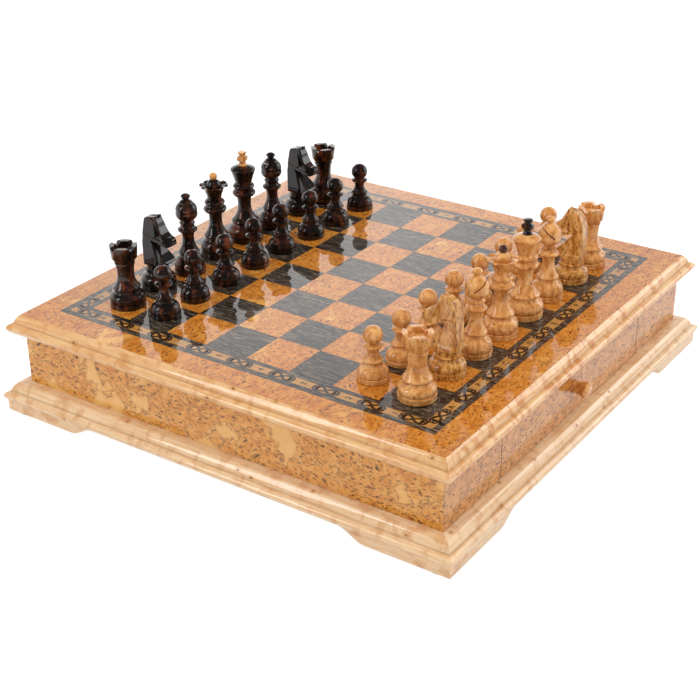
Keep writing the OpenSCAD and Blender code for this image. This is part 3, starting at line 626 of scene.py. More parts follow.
def mitredLengths(name, inner, section, top, materials, body, *standsFor):
    # Four lengths of a section round a square, cut at 45 degrees, with closed ends.
    # materials are for the front length and for the other three.
    verts, faces, dark = [], [], []
    gap = moulding["mitreGap"] / 2
    corner = (moulding["coveWidth"], -moulding["coveHeight"] - moulding["step"])
    ring = len(section)
    for quarter in range(4):
        turn = Matrix.Rotation(math.radians(90 * quarter), 3, "Z")
        start = len(verts)
        for end in (-1, 1):
            for out, z in section:
                reach = inner + out
                verts.append(turn @ Vector((end * (reach - gap), -reach, top + z)) * mm)
                # Painted shade, strongest in the inside corner under the cove and fading away from it
                near = 1 - math.dist((out, z), corner) / moulding["creaseReach"]
                dark.append(moulding["crease"] * max(0, near))
        for i in range(ring):
            j = (i + 1) % ring
            faces.append((start + i, start + j, start + ring + j, start + ring + i))
        faces.append(tuple(start + i for i in reversed(range(ring))))
        faces.append(tuple(start + ring + i for i in range(ring)))
    piece = finishPiece(name, meshOf(name, verts, faces), materials[0], body, *standsFor, sharp=28)
    mesh = piece.data
    mesh.materials.append(materials[1])
    mesh.polygons.foreach_set("material_index", [0 if i < ring + 2 else 1 for i in range(len(mesh.polygons))])
    mesh.attributes.new("crease", "FLOAT", "POINT").data.foreach_set("value", dark)
    outwards(mesh)
    return piece


def dressCase():
    panel = [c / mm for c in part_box("board_panel")[1]]
    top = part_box("top_moulding")[1][2] / mm
    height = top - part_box("top_moulding")[0][2] / mm
    edge = softened(mouldingSection(height), moulding["softEdge"])
    mitredLengths("topMouldingLengths", panel[0] + 0.1, edge + [(0, -height)], top,
                  (finishes["curlyBirch"], finishes["warmBirch"]), "case", "top_moulding")
    low, high = (Vector(v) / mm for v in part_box("plinth_moulding"))
    reach = high[0] - (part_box("top_moulding")[1][0] / mm - panel[0] - 0.1)
    height = high[2] - low[2]
    back = moulding["under"]
    edge = softened([(-back, 0)] + mouldingSection(height), moulding["softEdge"])
    mitredLengths("plinthLengths", reach, edge + [(-back, -height)], high[2],
                  (finishes["birch"], finishes["birch"]), "case", "plinth_moulding")
    for node, finish in {
        "board_panel": "plywood", "dark_squares": "stainedSquares", "light_squares": "burlSquares",
        "dark_bands": "stainedBands", "ornament_strip": "strip", "burl_border": "burlBorder",
        "side_walls": "burlWalls", "end_cheeks": "burlFront", "bottom_panel": "plywood",
        "drawer_dividers": "plywood", "feet": "birchFeet", "foot_pads": "rubber",
    }.items():
        setFinish(node, finish)
    for side in ("front", "back"):
        for part, finish in {"face": "burlFront", "box": "drawerBirch", "bottom": "plywood",
                             "knob": "knob"}.items():
            setFinish(f"{side}_drawer_{part}", finish)
        layFelt(side)


def setFinish(node, finish):
    mesh = nodes[node].data
    mesh.materials.clear()
    mesh.materials.append(finishes[finish])


# Sizes in mm; a cut edge is pressed down by a share of the thickness
felt = {"grid": 3.0, "wave": 0.1, "frayed": 0.35, "shrink": 0.4, "pressed": 0.35}


def layFelt(side):
    # Felt glued down in the drawer: faintly wavy on top, with a soft, uneven cut edge
    node = f"{side}_drawer_felt"
    low, high = (Vector(v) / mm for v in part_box(node))
    counts = [max(2, round((high[i] - low[i]) / felt["grid"])) for i in (0, 1)]
    thick = high[2] - low[2]
    verts, faces = [], []
    across, along = counts[0] + 1, counts[1] + 1
    for layer in (0, 1):
        for i in range(across):
            for j in range(along):
                x = low[0] + felt["shrink"] + (high[0] - low[0] - 2 * felt["shrink"]) * i / counts[0]
                y = low[1] + felt["shrink"] + (high[1] - low[1] - 2 * felt["shrink"]) * j / counts[1]
                rough = (math.sin(x * 0.9 + 2.1 * math.sin(y * 0.37))
                         * math.sin(y * 0.8 + 1.7 * math.sin(x * 0.31)))
                atEnd, atSide = i in (0, counts[0]), j in (0, counts[1])
                x += felt["frayed"] * rough * atEnd
                y += felt["frayed"] * rough * atSide
                pressed = thick * felt["pressed"] * (atEnd or atSide)
                z = low[2] if layer == 0 else high[2] - felt["wave"] * (1 + rough) - pressed
                verts.append(Vector((x, y, z)) * mm)
    size = across * along
    for i in range(counts[0]):
        for j in range(counts[1]):
            a, b, c, d = i * along + j, (i + 1) * along + j, (i + 1) * along + j + 1, i * along + j + 1
            faces += [(a, d, c, b), (a + size, b + size, c + size, d + size)]
    rim = ([(i, 0) for i in range(counts[0])] + [(counts[0], j) for j in range(counts[1])]
           + [(i, counts[1]) for i in range(counts[0], 0, -1)] + [(0, j) for j in range(counts[1], 0, -1)])
    rim = [i * along + j for i, j in rim]
    faces += [(a, b, b + size, a + size) for a, b in zip(rim, rim[1:] + rim[:1])]
    name = f"{side}DrawerFeltSheet"
    piece = finishPiece(name, meshOf(name, verts, faces), finishes["felt"], f"{side}_drawer", node, sharp=60)
    outwards(piece.data)


dressCase()
print("the case is dressed")


# Inlaid strip: scrolls on the lines of the board, names of files and ranks between them
strip = {
    "middle": 177.5,  # mm from the middle of the board to the strip's centre line
    "motifs": 9,
    "endPull": 5.0,  # mm that the end motifs come in from the corners
    "proud": 0.02,
    "ribbon": 2.5,  # mm across a scroll, and across its tip
    "tip": 1.7,
    "bud": 0.85,  # radius of the bud at a scroll's end, as a share of its tip
    "letter": 5.2,  # mm high
    "typeSize": 1.38,  # type size as a share of the height of a capital
    "bold": 0.28,
    "ranks": "12345678",
    "files": "ABCDEFGH",
    # One arm of the scroll, from the middle out to the curl
    "arm": [(0, 0), (-1.5, -1.5), (-3.4, -2.8), (-5.8, -3.4), (-8.6, -3.3), (-10.8, -2.3), (-11.4, -0.7),
            (-10.2, 0.1), (-8.6, -0.5), (-7.4, -1.3)],
}


def throughPoints(points, steps):
    # Smooth line through the points
    line = []
    ends = [points[0]] + list(points) + [points[-1]]
    for i in range(len(points) - 1):
        p0, p1, p2, p3 = (Vector(p) for p in ends[i:i + 4])
        for t in (s / steps for s in range(steps)):
            line.append(0.5 * (2 * p1 + (p2 - p0) * t + (2 * p0 - 5 * p1 + 4 * p2 - p3) * t * t
                               + (3 * p1 - p0 - 3 * p2 + p3) * t ** 3))
    return line + [Vector(points[-1])]


def ribbon(points, wide, narrow, z):
    # Flat tapered band along a smooth line through the points
    smoothLine = throughPoints(points, 5)
    verts, faces = [], []
    for i, here in enumerate(smoothLine):
        way = (smoothLine[min(i + 1, len(smoothLine) - 1)] - smoothLine[max(i - 1, 0)]).normalized()
        half = (wide + (narrow - wide) * i / (len(smoothLine) - 1)) / 2
        side = Vector((-way[1], way[0])) * half
        verts += [(here[0] + side[0], here[1] + side[1], z), (here[0] - side[0], here[1] - side[1], z)]
        if i:
            faces.append((2 * i - 2, 2 * i - 1, 2 * i + 1, 2 * i))
    # Round bud at the end
    start, end, bud = len(verts), smoothLine[-1], narrow * strip["bud"]
    for k in range(10):
        a = k * math.pi / 5
        verts.append((end[0] + bud * math.cos(a), end[1] + bud * math.sin(a), z))
    faces.append(tuple(range(start, start + 10)))
    return verts, faces


def scrollMotif():
    # Two S scrolls laid across each other, so that each end has a pair of curls, and a diamond in the middle
    verts, faces = [], []
    diamond = [(0, 2.3), (-1.7, 0), (0, -2.3), (1.7, 0)]
    mirrored = [(x, -y) for x, y in strip["arm"]]
    layers = [(ribbon(strip["arm"], strip["ribbon"], strip["tip"], 0), (1, -1)),
              (ribbon(mirrored, strip["ribbon"], strip["tip"], 0.002), (1, -1)),
              (([(x, y, 0.004) for x, y in diamond], [(0, 1, 2, 3)]), (1,))]
    for (points, loops), signs in layers:
        for sign in signs:
            start = len(verts)
            verts += [Vector((x * sign, y * sign, z)) * mm for x, y, z in points]
            faces += [tuple(start + i for i in loop) for loop in loops]
    mesh = meshOf("scrollMotif", verts, faces)
    for polygon in mesh.polygons:
        if polygon.normal[2] < 0:
            polygon.flip()
    return mesh


def scrollTree():
    # Repeats the motif along a side of the board, then turns that side to all four
    tree = bpy.data.node_groups.new("scrollsRoundTheBoard", "GeometryNodeTree")
    add = partial(addNode, tree)
    face = tree.interface
    face.new_socket("Motif", in_out="INPUT", socket_type="NodeSocketGeometry")
    face.new_socket("Motifs On A Side", in_out="INPUT", socket_type="NodeSocketInt").default_value = 9
    for name, metres in (("Pitch", 0.042), ("Farthest From Middle", 0.163), ("Strip From Middle", 0.1775),
                         ("Top", 0.093)):
        face.new_socket(name, in_out="INPUT", socket_type="NodeSocketFloat").default_value = metres
    face.new_socket("Finish", in_out="INPUT", socket_type="NodeSocketMaterial")
    face.new_socket("Scrolls", in_out="OUTPUT", socket_type="NodeSocketGeometry")
    asked = add("NodeGroupInput").outputs
    step = add("CombineXYZ", {"X": asked["Pitch"]})
    line = add("GeometryNodeMeshLine", {"Count": asked["Motifs On A Side"], "Offset": step})
    # Centre the row, and draw its ends in from the mitres
    gaps = add("Math", {0: asked["Motifs On A Side"], 1: -1.0}, operation="ADD")
    span = add("Math", {0: gaps, 1: asked["Pitch"]}, operation="MULTIPLY")
    half = add("Math", {0: span, 1: -0.5}, operation="MULTIPLY")
    here = add("SeparateXYZ", {0: add("GeometryNodeInputPosition")})
    placed = add("Math", {0: here.outputs["X"], 1: half}, operation="ADD")
    reach = add("Math", {0: asked["Farthest From Middle"], 1: -1.0}, operation="MULTIPLY")
    placed = add("Clamp", {"Value": placed, "Min": reach, "Max": asked["Farthest From Middle"]})
    out = add("Math", {0: asked["Strip From Middle"], 1: -1.0}, operation="MULTIPLY")
    spot = add("CombineXYZ", {"X": placed, "Y": out, "Z": asked["Top"]})
    row = add("GeometryNodeSetPosition", {"Geometry": line, "Position": spot})
    side = add("GeometryNodeInstanceOnPoints", {"Points": row, "Instance": asked["Motif"]})
    four = add("GeometryNodeMeshLine", {"Count": 4, "Offset": (0.0, 0.0, 0.0)})
    quarter = add("Math", {0: add("GeometryNodeInputIndex"), 1: math.pi / 2}, operation="MULTIPLY")
    turn = add("CombineXYZ", {"Z": quarter})
    around = add("GeometryNodeInstanceOnPoints", {"Points": four, "Instance": side, "Rotation": turn})
    solid = add("GeometryNodeRealizeInstances", {"Geometry": around})
    finished = add("GeometryNodeSetMaterial", {"Geometry": solid, "Material": asked["Finish"]})
    given = add("NodeGroupOutput")
    tree.links.new(finished.outputs[0], given.inputs[0])
    return tree


def inlayScrolls(top):
    holder = inScene("scrollHolder", scrollMotif())
    tree = scrollTree()
    modifier = holder.modifiers.new("scrolls", "NODES")
    modifier.node_group = tree
    values = {"Motifs On A Side": strip["motifs"], "Pitch": squareSide * mm,
              "Farthest From Middle": (4 * squareSide - strip["endPull"]) * mm,
              "Strip From Middle": strip["middle"] * mm, "Top": top + strip["proud"] * mm,
              "Finish": finishes["inlay"]}
    for socket in tree.interface.items_tree:
        if socket.name in values:
            modifier[socket.identifier] = values[socket.name]
    piece = finishPiece("inlaidScrolls", evaluated(holder), finishes["inlay"], "case")


def inlayNames(top):
    # Files along the front and back, ranks along both sides. The front and left read from
    # the light player's side, and the back and right from the dark player's.
    meshes = []
    for far in (False, True):
        order = list(reversed(range(8))) if far else list(range(8))
        spots = [(strip["files"][order[i]], (i - 3.5) * squareSide, -strip["middle"]) for i in range(8)]
        spots += [(strip["ranks"][order[i]], -strip["middle"], (i - 3.5) * squareSide) for i in range(8)]
        for name, x, y in spots:
            words = bpy.data.curves.new("name", "FONT")
            words.body, words.size = name, strip["letter"] * strip["typeSize"] * mm
            words.align_x, words.align_y, words.offset = "CENTER", "CENTER", strip["bold"] * mm
            holder = inScene("name", words)
            bpy.context.view_layer.update()
            mesh = evaluated(holder)
            low = [min(v.co[i] for v in mesh.vertices) for i in (0, 1)]
            high = [max(v.co[i] for v in mesh.vertices) for i in (0, 1)]
            centre = Vector(((low[0] + high[0]) / 2, (low[1] + high[1]) / 2, 0))
            turn = Matrix.Rotation(math.pi if far else 0, 4, "Z")
            spot = Matrix.Translation(Vector((x, y, 0)) * mm + Vector((0, 0, top + strip["proud"] * mm)))
            mesh.transform(turn @ spot @ Matrix.Translation(-centre))
            meshes.append(mesh)
    piece = finishPiece("inlaidFileAndRankNames", joined("names", meshes), finishes["inlayFaint"], "case")


inlayScrolls(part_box("ornament_strip")[1][2])
inlayNames(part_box("ornament_strip")[1][2])
print("the strip is inlaid")


# Turned men
men = {
    # Radii, and heights whose names end in Z, in mm. A foot bulges and a stem is hollow by so much.
    "disc": 5.2,
    "groove": 1.5,
    "segments": 96,
    "king": {"base": 16.3, "bulge": 2.2, "lipZ": 20, "lip": 13, "hollow": 2, "waistZ": 36, "waist": 6.2,
             "ringZ": 47.3, "ring": 11, "narrower": 0.8, "top": 74, "head": 11.5},
    "queen": {"base": 15, "bulge": 2, "lipZ": 20.2, "lip": 11.5, "hollow": 1.7, "waistZ": 36, "waist": 5.9,
              "ringZ": 45.5, "ring": 10.8, "narrower": 1.3, "top": 68.6, "crown": 13.1, "dome": 6.4,
              "domeHeight": 5, "petals": 9, "trough": 0.75},
    "bishop": {"base": 14.3, "disc": 4.8, "bulge": 2, "lipZ": 20.2, "lip": 9.6, "hollow": 1.2, "waistZ": 34,
               "waist": 5.3, "collarZ": 41.4, "collar": 9.2, "head": 9.5, "top": 75, "slit": 1.1,
               "slitDepth": 13.5, "slitSlope": 40},
    "rook": {"base": 15.4, "bulge": 1.7, "lipZ": 17.3, "lip": 12, "hollow": 1.6, "waistZ": 31, "waist": 7.5,
             "towerZ": 41, "tower": 12, "top": 56, "well": 7.8, "wellDepth": 5, "notch": 6.4,
             "notchFoot": 2.6, "notchDepth": 2.6},
    "pawn": {"base": 13, "disc": 4.4, "bulge": 1.5, "lipZ": 17.2, "lip": 8.2, "hollow": 0.8, "waistZ": 24.5,
             "waist": 4.5, "collarZ": 29.5, "collar": 7.9, "ball": 7.8, "seat": 4.6},
    # How far each was turned when it was put down, beyond facing the other side
    "turns": {"light_rook_a1": -10, "light_knight_b1": -3, "light_bishop_c1": -55, "light_king_e1": 25,
              "light_bishop_f1": 125, "light_knight_g1": 4, "dark_rook_a8": -10, "dark_knight_b8": 2,
              "dark_bishop_c8": -145, "dark_queen_d8": 10, "dark_bishop_f8": -10, "dark_knight_g8": -3,
              "dark_rook_h8": 5},
    "finialTurn": 55,  # of the light king's finial on its king, in degrees
}


def outline(rows, steps=10):
    # Rows are (height, radius, bow to the next row); gives points (radius, height)
    points = []
    for a, b in zip(rows, rows[1:]):
        points += bowedLine((a[1], a[0]), (b[1], b[0]), a[2], steps)
    return points + [(rows[-1][1], rows[-1][0])]


def footRows(man):
    # Disc, groove and bell, up to the lip
    base, lipZ, lip = man["base"], man["lipZ"], man["lip"]
    disc, groove = man.get("disc", men["disc"]), men["groove"]
    return [
        (0, 0, 0), (0, base - 0.7, 0), (0.7, base, 0), (disc - 0.3, base, 0), (disc, base - 0.4, 0),
        (disc + 0.1, base - groove, 0), (disc + 0.8, base - groove, 0), (disc + 0.9, base - 0.6, man["bulge"]),
        (lipZ - 4, lip - 0.5, -0.4), (lipZ - 0.5, lip - 0.9, 0), (lipZ, lip, 0),
    ]


def stemRows(man, top):
    return [(man["lipZ"] + 0.5, man["lip"] - 0.1, -man["hollow"]), (man["waistZ"], man["waist"], -0.2),
            (top, man["waist"] + 0.9, 0)]


def ringRows(z, r, half):
    return [(z - half, r - 1.7, 1.6), (z + half, r - 1.9, 0), (z + half + 0.4, r - 2.7, 0),
            (z + half + 1.2, r - 2.7, 0)]


def royalRows(man, neck, crown):
    # A king or queen: foot, stem, two rings, and above them the neck and what it carries
    z, r = man["ringZ"], man["ring"]
    upper = z + 6.5
    rings = ringRows(z, r, 2.5) + ringRows(upper, r - man["narrower"], 2.3)
    return footRows(man) + stemRows(man, z - 2.5) + rings + [(upper + 2.5 + 0.4 + 1, *neck)] + crown


def kingRows():
    k = men["king"]
    top, head = k["top"], k["head"]
    return royalRows(k, (head - 3.8, -0.15), [
        (top - 4.4, head, 0.25), (top - 2.8, head - 0.4, 0.4), (top, 4, 0), (top, 0, 0)])


def queenRows():
    q = men["queen"]
    top, crown, dome, tip = q["top"], q["crown"], q["dome"], q["top"] + q["domeHeight"]
    return royalRows(q, (6.3, -0.2), [
        (top - 6.8, 8, -0.9), (top, crown, 0), (top - 0.2, crown - 1.5, 0.5), (top - 3.6, dome + 0.6, 0),
        (top - 2.8, dome, 1.4), (tip, 3, 0), (tip, 0, 0)])


def bishopRows():
    b = men["bishop"]
    z, r, top, head = b["collarZ"], b["collar"], b["top"], b["head"]
    neck = z + 8.8
    return footRows(b) + stemRows(b, z - 1.9) + [
        (z - 1.6, r - 1.4, 1.2), (z + 1.6, r - 1.7, -0.3), (z + 4, 6.2, 0), (z + 4.8, 6.2, 0.9),
        (neck - 0.8, 6, 0), (neck, 5.6, 0), (neck + 0.6, head - 3.3, 1.6), (top - 16.5, head, 1.3),
        (top - 8.5, head - 3.1, 0.4), (top - 5.6, 3.2, 0), (top - 5, 2.8, 0), (top - 4.4, 3, 1.6),
        (top - 0.4, 2.4, 0.3), (top, 0, 0)]


def rookRows():
    r = men["rook"]
    z, waist, top, tower, well = r["towerZ"], r["waist"], r["top"], r["tower"], r["well"]
    return footRows(r) + stemRows(r, z - 1.5) + [
        (z - 1.4, waist + 1.3, 0), (z - 0.1, waist + 1.3, 0), (z, waist + 0.9, -0.2), (z + 4, tower - 0.9, 0),
        (top, tower, 0), (top, well, 0), (top - r["wellDepth"], well, 0), (top - r["wellDepth"], 0, 0)]


def pawnRows():
    p = men["pawn"]
    z, r, ball, seat = p["collarZ"], p["collar"], p["ball"], p["seat"]
    ballZ = z + 1.4 + 0.95 * ball
    low = ballZ - math.sqrt(ball ** 2 - seat ** 2)
    rows = footRows(p) + stemRows(p, z - 1.2) + [
        (z - 0.7, r - 0.5, 0), (z, r, 0), (z + 0.6, r - 0.3, -0.2), (max(low, z + 1.2), seat, 0)]
    start = math.pi - math.asin(seat / ball)
    for i in range(1, 25):
        a = start * (1 - i / 24)
        rows.append((ballZ + ball * math.cos(a), ball * math.sin(a) if i < 24 else 0, 0))
    return rows


def turnedMesh(name, points, segments):
    # Spins (radius, height) points round Z; a radius of 0 closes the shape at one point
    verts, faces, rings = [], [], []
    for radius, height in points:
        if radius < 1e-6:
            rings.append([len(verts)])
            verts.append((0, 0, height * mm))
            continue
        rings.append(list(range(len(verts), len(verts) + segments)))
        for i in range(segments):
            a = 2 * math.pi * i / segments
            verts.append((radius * math.cos(a) * mm, radius * math.sin(a) * mm, height * mm))
    for low, high in zip(rings, rings[1:]):
        for i in range(segments):
            j = (i + 1) % segments
            loop = [low[i % len(low)], low[j % len(low)], high[j % len(high)], high[i % len(high)]]
            loop = list(dict.fromkeys(loop))
            if len(loop) > 2:
                faces.append(loop)
    mesh = meshOf(name, verts, faces)
    outwards(mesh)
    return mesh


def carved(mesh, cutters, keep=(), grain=0, rubbed=0, share=1.0):
    # Takes each cutter out of the solid, or keeps only what lies in it. With a grain in mm
    # it is then sanded: edges are rubbed round over that many strokes.
    solid = inScene("solid", mesh)
    tools = []
    for cutter in list(keep) + list(cutters):
        tool = inScene("cutter", cutter)
        cut = solid.modifiers.new("cut", "BOOLEAN")
        cut.object, cut.operation, cut.solver = tool, "INTERSECT" if cutter in keep else "DIFFERENCE", "EXACT"
        tools.append(tool)
    if grain:
        skin = solid.modifiers.new("skin", "REMESH")
        skin.mode, skin.voxel_size = "VOXEL", grain * mm
        rub = solid.modifiers.new("rub", "SMOOTH")
        rub.factor, rub.iterations = 0.5, rubbed
        thin = solid.modifiers.new("thin", "DECIMATE")
        thin.ratio = share
    return evaluated(solid, *tools)


def hull(points):
    # Smallest convex solid round the points, in mm
    shape = bmesh.new()
    for p in points:
        shape.verts.new(Vector(p) * mm)
    bmesh.ops.convex_hull(shape, input=shape.verts)
    for vert in [v for v in shape.verts if not v.link_faces]:
        shape.verts.remove(vert)
    mesh = bpy.data.meshes.new("hull")
    shape.to_mesh(mesh)
    shape.free()
    outwards(mesh)
    return mesh


def slab(points, low, high, axis):
    # Closed outline made a slab along X (0), Y (1) or Z (2)
    def at(p, depth):
        placed = list(p)
        placed.insert(axis, depth)
        return Vector(placed) * mm
    count = len(points)
    verts = [at(p, low) for p in points] + [at(p, high) for p in points]
    faces = [tuple(range(count)), tuple(count + i for i in reversed(range(count)))]
    faces += [(i, count + i, count + (i + 1) % count, (i + 1) % count) for i in range(count)]
    mesh = meshOf("slab", verts, faces)
    outwards(mesh)
    return mesh


def queenMesh():
    q = men["queen"]
    points = []
    # Close rows on the flare of the crown, so that the petals cut cleanly
    flare = (q["top"] - 6.8, q["top"])
    line = outline(queenRows(), 14)
    for a, b in zip(line, line[1:]):
        points.append(a)
        steep = flare[0] < max(a[1], b[1]) <= flare[1] + 0.1 and max(a[0], b[0]) > q["dome"] + 1
        if steep and math.dist(a, b) > 0.4:
            count = int(math.dist(a, b) / 0.3)
            points += [(a[0] + (b[0] - a[0]) * i / count, a[1] + (b[1] - a[1]) * i / count)
                       for i in range(1, count)]
    points.append((0, q["top"] + q["domeHeight"]))
    mesh = turnedMesh("queen", points, 16 * q["petals"])
    # Hollows between the petals: a round dip in the rim between each pair, which narrows inwards
    trough = q["crown"] * math.sin(math.pi / q["petals"]) * q["trough"]
    for vert in mesh.vertices:
        x, y, z = (c / mm for c in vert.co)
        radius = math.hypot(x, y)
        if z < q["top"] - 3 or radius < q["dome"] + 1.4:
            continue
        share = (math.atan2(y, x) / (2 * math.pi) * q["petals"]) % 1 - 0.5
        aside = q["crown"] * math.sin(share * 2 * math.pi / q["petals"])
        if abs(aside) < trough:
            vert.co.z = min(z, q["top"] + 2.1 - math.sqrt(trough ** 2 - aside ** 2)) * mm
    return mesh


def rookMesh():
    # Notches that narrow towards the foot, cut right across the tower twice
    r = men["rook"]
    reach, foot, half, deep = r["tower"] + 2, r["top"] - r["notchDepth"], r["notchFoot"] / 2, r["notchDepth"]
    rise = (r["notch"] - r["notchFoot"]) / 2 / deep * (deep + 2)
    across = [(-half, foot), (half, foot), (half + rise, r["top"] + 2), (-half - rise, r["top"] + 2)]
    cuts = [slab(across, -reach, reach, 0), slab(across, -reach, reach, 1)]
    return carved(turnedMesh("rook", outline(rookRows()), men["segments"]), cuts)


def bishopMesh():
    b = men["bishop"]
    slant = Matrix.Rotation(math.radians(-b["slitSlope"]), 3, "Y")
    start = Vector((b["head"] + 1 - b["slitDepth"], 0, b["top"] - 18.3))
    half = b["head"] + 1.5
    cut = hull([slant @ Vector((x, y, z)) + start for x in (0, 3 * b["head"]) for y in (-half, half)
                for z in (0, b["slit"])])
    return carved(turnedMesh("bishop", outline(bishopRows()), men["segments"]), [cut])


# Carved knights, in mm: places are (forward, up), or (up, radius) in the blank, and
# (half thickness, up) in the front
knight = {
    "base": 15.4,
    "bulge": 1.8,
    "lipZ": 17.3,
    "lip": 11.4,
    "neck": 9.6,
    "under": 22.0,  # underside of the block that carries the head
    "front": [(8.4, 20), (8.4, 24.6), (6.5, 45), (5.5, 60), (4.4, 68.6)],
    "blank": [(22.0, 11.2), (24.4, 14.4), (26.0, 16.3), (30, 16.6), (36, 20), (40, 26)],
    "cheek": (23.08, 0.3893, 0.2544),  # half thickness, and what it loses for each mm forward and up
    "grainSize": 0.34,  # mm between the points of the carved surface
    "strokes": {"dark": 5, "light": 12},  # how long each side's edges are rubbed
    "kept": 0.45,  # share of the surface's triangles that stay
    "teeth": 19,
    "toothDepth": 0.45,
    "backs": {
        "dark": [(-11.4, 22), (-11.5, 25), (-11.3, 34), (-11, 40), (-10.2, 48), (-9.2, 55), (-7.8, 64.2),
                 (-6.4, 65.7), (-2.5, 66.4), (1.4, 67.2), (4.8, 68.4), (5.1, 65.4)],
        "light": [(-11.4, 22), (-11.6, 26), (-11.4, 36), (-11, 43.7), (-10.4, 52), (-8.6, 58.4), (-5.4, 63.4),
                  (-1.2, 66.2), (2.0, 66.9), (4.8, 67.6), (5.3, 66.0)],
    },
    "faces": {
        "dark": [(6.6, 62.5), (8.0, 58.4), (9.5, 55), (12, 51.9), (15, 50.6), (18.3, 50.1), (20.2, 49),
                 (20.7, 47.4)],
        "light": [(7.8, 61.5), (9.2, 58.6), (10.8, 56.4), (12.8, 54.6), (14.8, 53.3), (18, 51.6), (20.1, 50.2),
                  (20.7, 48)],
    },
    "jaw": [(20.6, 45), (19.9, 43), (17.2, 41.7), (12, 42.1), (7, 43), (2, 44.5), (-0.9, 45.4), (-1, 44.5),
            (0.4, 42.8), (9, 33.3), (14.6, 27.6), (16.3, 25.4), (16.3, 22)],
}


def cheekAt(forward, up):
    # Half thickness of the cheek, which thins towards the nose
    thick, ahead, above = knight["cheek"]
    return thick - ahead * forward - above * up


def sideCuts():
    # What the knife takes from one side: lists of (half thickness, forward, up), each
    # taken out to beyond the horse's side. The first two slope the cheek.
    outer = 14
    cuts = []
    for area in ([(2.8, 70), (2.8, 64.8), (12.7, 46.9), (24, 46.9), (24, 70)],
                 [(12.7, 47.0), (13.4, 39), (24, 39), (24, 47.0)]):
        cuts.append([(t, f, z) for f, z in area for t in (cheekAt(f, z), outer)])
    # Deep hollow between the mane and the cheek, and the strip under the cheek
    for area in ([(4.9, 2.4, 65.6), (3.2, 4.7, 49.8), (5.9, 12.5, 47.3)],
                 [(5.0, 1.8, 47.9), (4.3, 5.0, 50.2), (4.9, 12.8, 47.7), (4.8, 10.9, 45.6)]):
        cuts.append(area + [(outer, f, z) for t, f, z in area])
    # Neck set back from the mane, and a fine line down it
    neck = ((-13, 49.3), (-4.1, 49.3), (2, 47.9), (11, 45.6), (18, 44), (18, 26), (-13, 26))
    cuts.append([(t, f, z) for f, z in neck for t in (7.55 - (z - 26) * 0.083, outer)])
    top, middle, foot = ([(5.2, -3.4, 47.3), (outer, -3.9, 47.3), (outer, -2.9, 47.5)],
                         [(5.9, 1.6, 36.5), (outer, 1.1, 36.5), (outer, 2.1, 36.6)],
                         [(7.2, 6.0, 23), (outer, 5.5, 23), (outer, 6.5, 23.2)])
    cuts += [top + middle, middle + foot]
    # Hollow in the ear, and the nostril
    cuts.append([(3.4, -1.4, 65.8), (3.0, 3.9, 67.6), (3.6, 3.6, 63.6), (outer, -1.4, 66.2), (outer, 4.1, 68.2),
                 (outer, 3.8, 63.2)])
    cuts.append([(1.6, 18.4, 47.6), (outer, 17.5, 48.4), (outer, 19.6, 48.2), (outer, 18.8, 46.6)])
    return cuts


def flute():
    # Round hollow that runs up the neck to the throat, from one side
    low, high, radius = Vector((12.6, 8.5, 21)), Vector((9.6, 3.6, 44)), 5.0
    axis = (high - low).normalized()
    side = axis.cross(Vector((0, 0, 1))).normalized()
    other = axis.cross(side)
    points = []
    for end in (low, high):
        for i in range(40):
            a = 2 * math.pi * i / 40
            points.append(end + (side * math.cos(a) + other * math.sin(a)) * radius)
    return points


def horseMesh(side):
    k = knight
    back = k["backs"][side]
    # Fine teeth up the back edge
    length = sum(math.dist(a, b) for a, b in zip(back[1:7], back[2:7]))
    toothed = back[:2]
    for a, b in zip(back[1:7], back[2:7]):
        stretch = math.dist(a, b)
        count = max(1, round(k["teeth"] * stretch / length))
        for i in range(count):
            for share, deep in ((0.35, 0), (0.5, k["toothDepth"]), (0.65, 0)):
                t = (i + share) / count
                toothed.append((a[0] + (b[0] - a[0]) * t + deep, a[1] + (b[1] - a[1]) * t))
        toothed.append(b)
    face = throughPoints([back[-1]] + k["faces"][side] + [k["jaw"][0]], 4)
    profile = toothed + back[7:] + [tuple(p) for p in face[1:-1]] + k["jaw"]
    # The block, and what narrows it: its look from the front, its plan, and the turned blank
    block = slab(profile, -9, 9, 0)
    front = k["front"] + [(-t, z) for t, z in reversed(k["front"])]
    plan = [(-9, 24), (-9, -7.6), (-7.4, -9.6), (-4.6, -11.7), (4.6, -11.7), (7.4, -9.6), (9, -7.6), (9, 24)]
    blank = [(0, k["blank"][0][0])] + [(r, z) for z, r in k["blank"]] + [(26, 70), (0, 70)]
    blank = turnedMesh("blank", blank, men["segments"])
    cuts = []
    for sign in (-1, 1):
        cuts += [hull([(t * sign, f, z) for t, f, z in points]) for points in sideCuts() + [flute()]]
    # Saw cut between the ears, and the mouth
    for half, area in ((1.0, ((-5.5, 69), (-3.4, 66.4), (6.5, 65.2), (7, 69))),
                       (8, ((22, 45.6), (22, 44.7), (16.2, 45.5)))):
        cuts.append(hull([(t, f, z) for t in (-half, half) for f, z in area]))
    head = carved(block, cuts, keep=(slab(front, -14, 26, 1), slab(plan, 20, 70, 2), blank),
                  grain=k["grainSize"], rubbed=k["strokes"][side], share=k["kept"])
    foot = outline(footRows(k) + [(k["lipZ"] + 0.4, k["neck"], 0), (k["under"] + 0.8, k["neck"], 0),
                                  (k["under"] + 0.8, 0, 0)])
    return joined(f"{side}Knight", [head, turnedMesh("foot", foot, men["segments"])])


shapes = {
    "king": turnedMesh("king", outline(kingRows()), men["segments"]),
    "queen": queenMesh(),
    "bishop": bishopMesh(),
    "rook": rookMesh(),
    "pawn": turnedMesh("pawn", outline(pawnRows()), men["segments"]),
    "lightKnight": horseMesh("light"),
    "darkKnight": horseMesh("dark"),
}
print("the men are turned and carved:", {name: len(mesh.polygons) for name, mesh in shapes.items()})


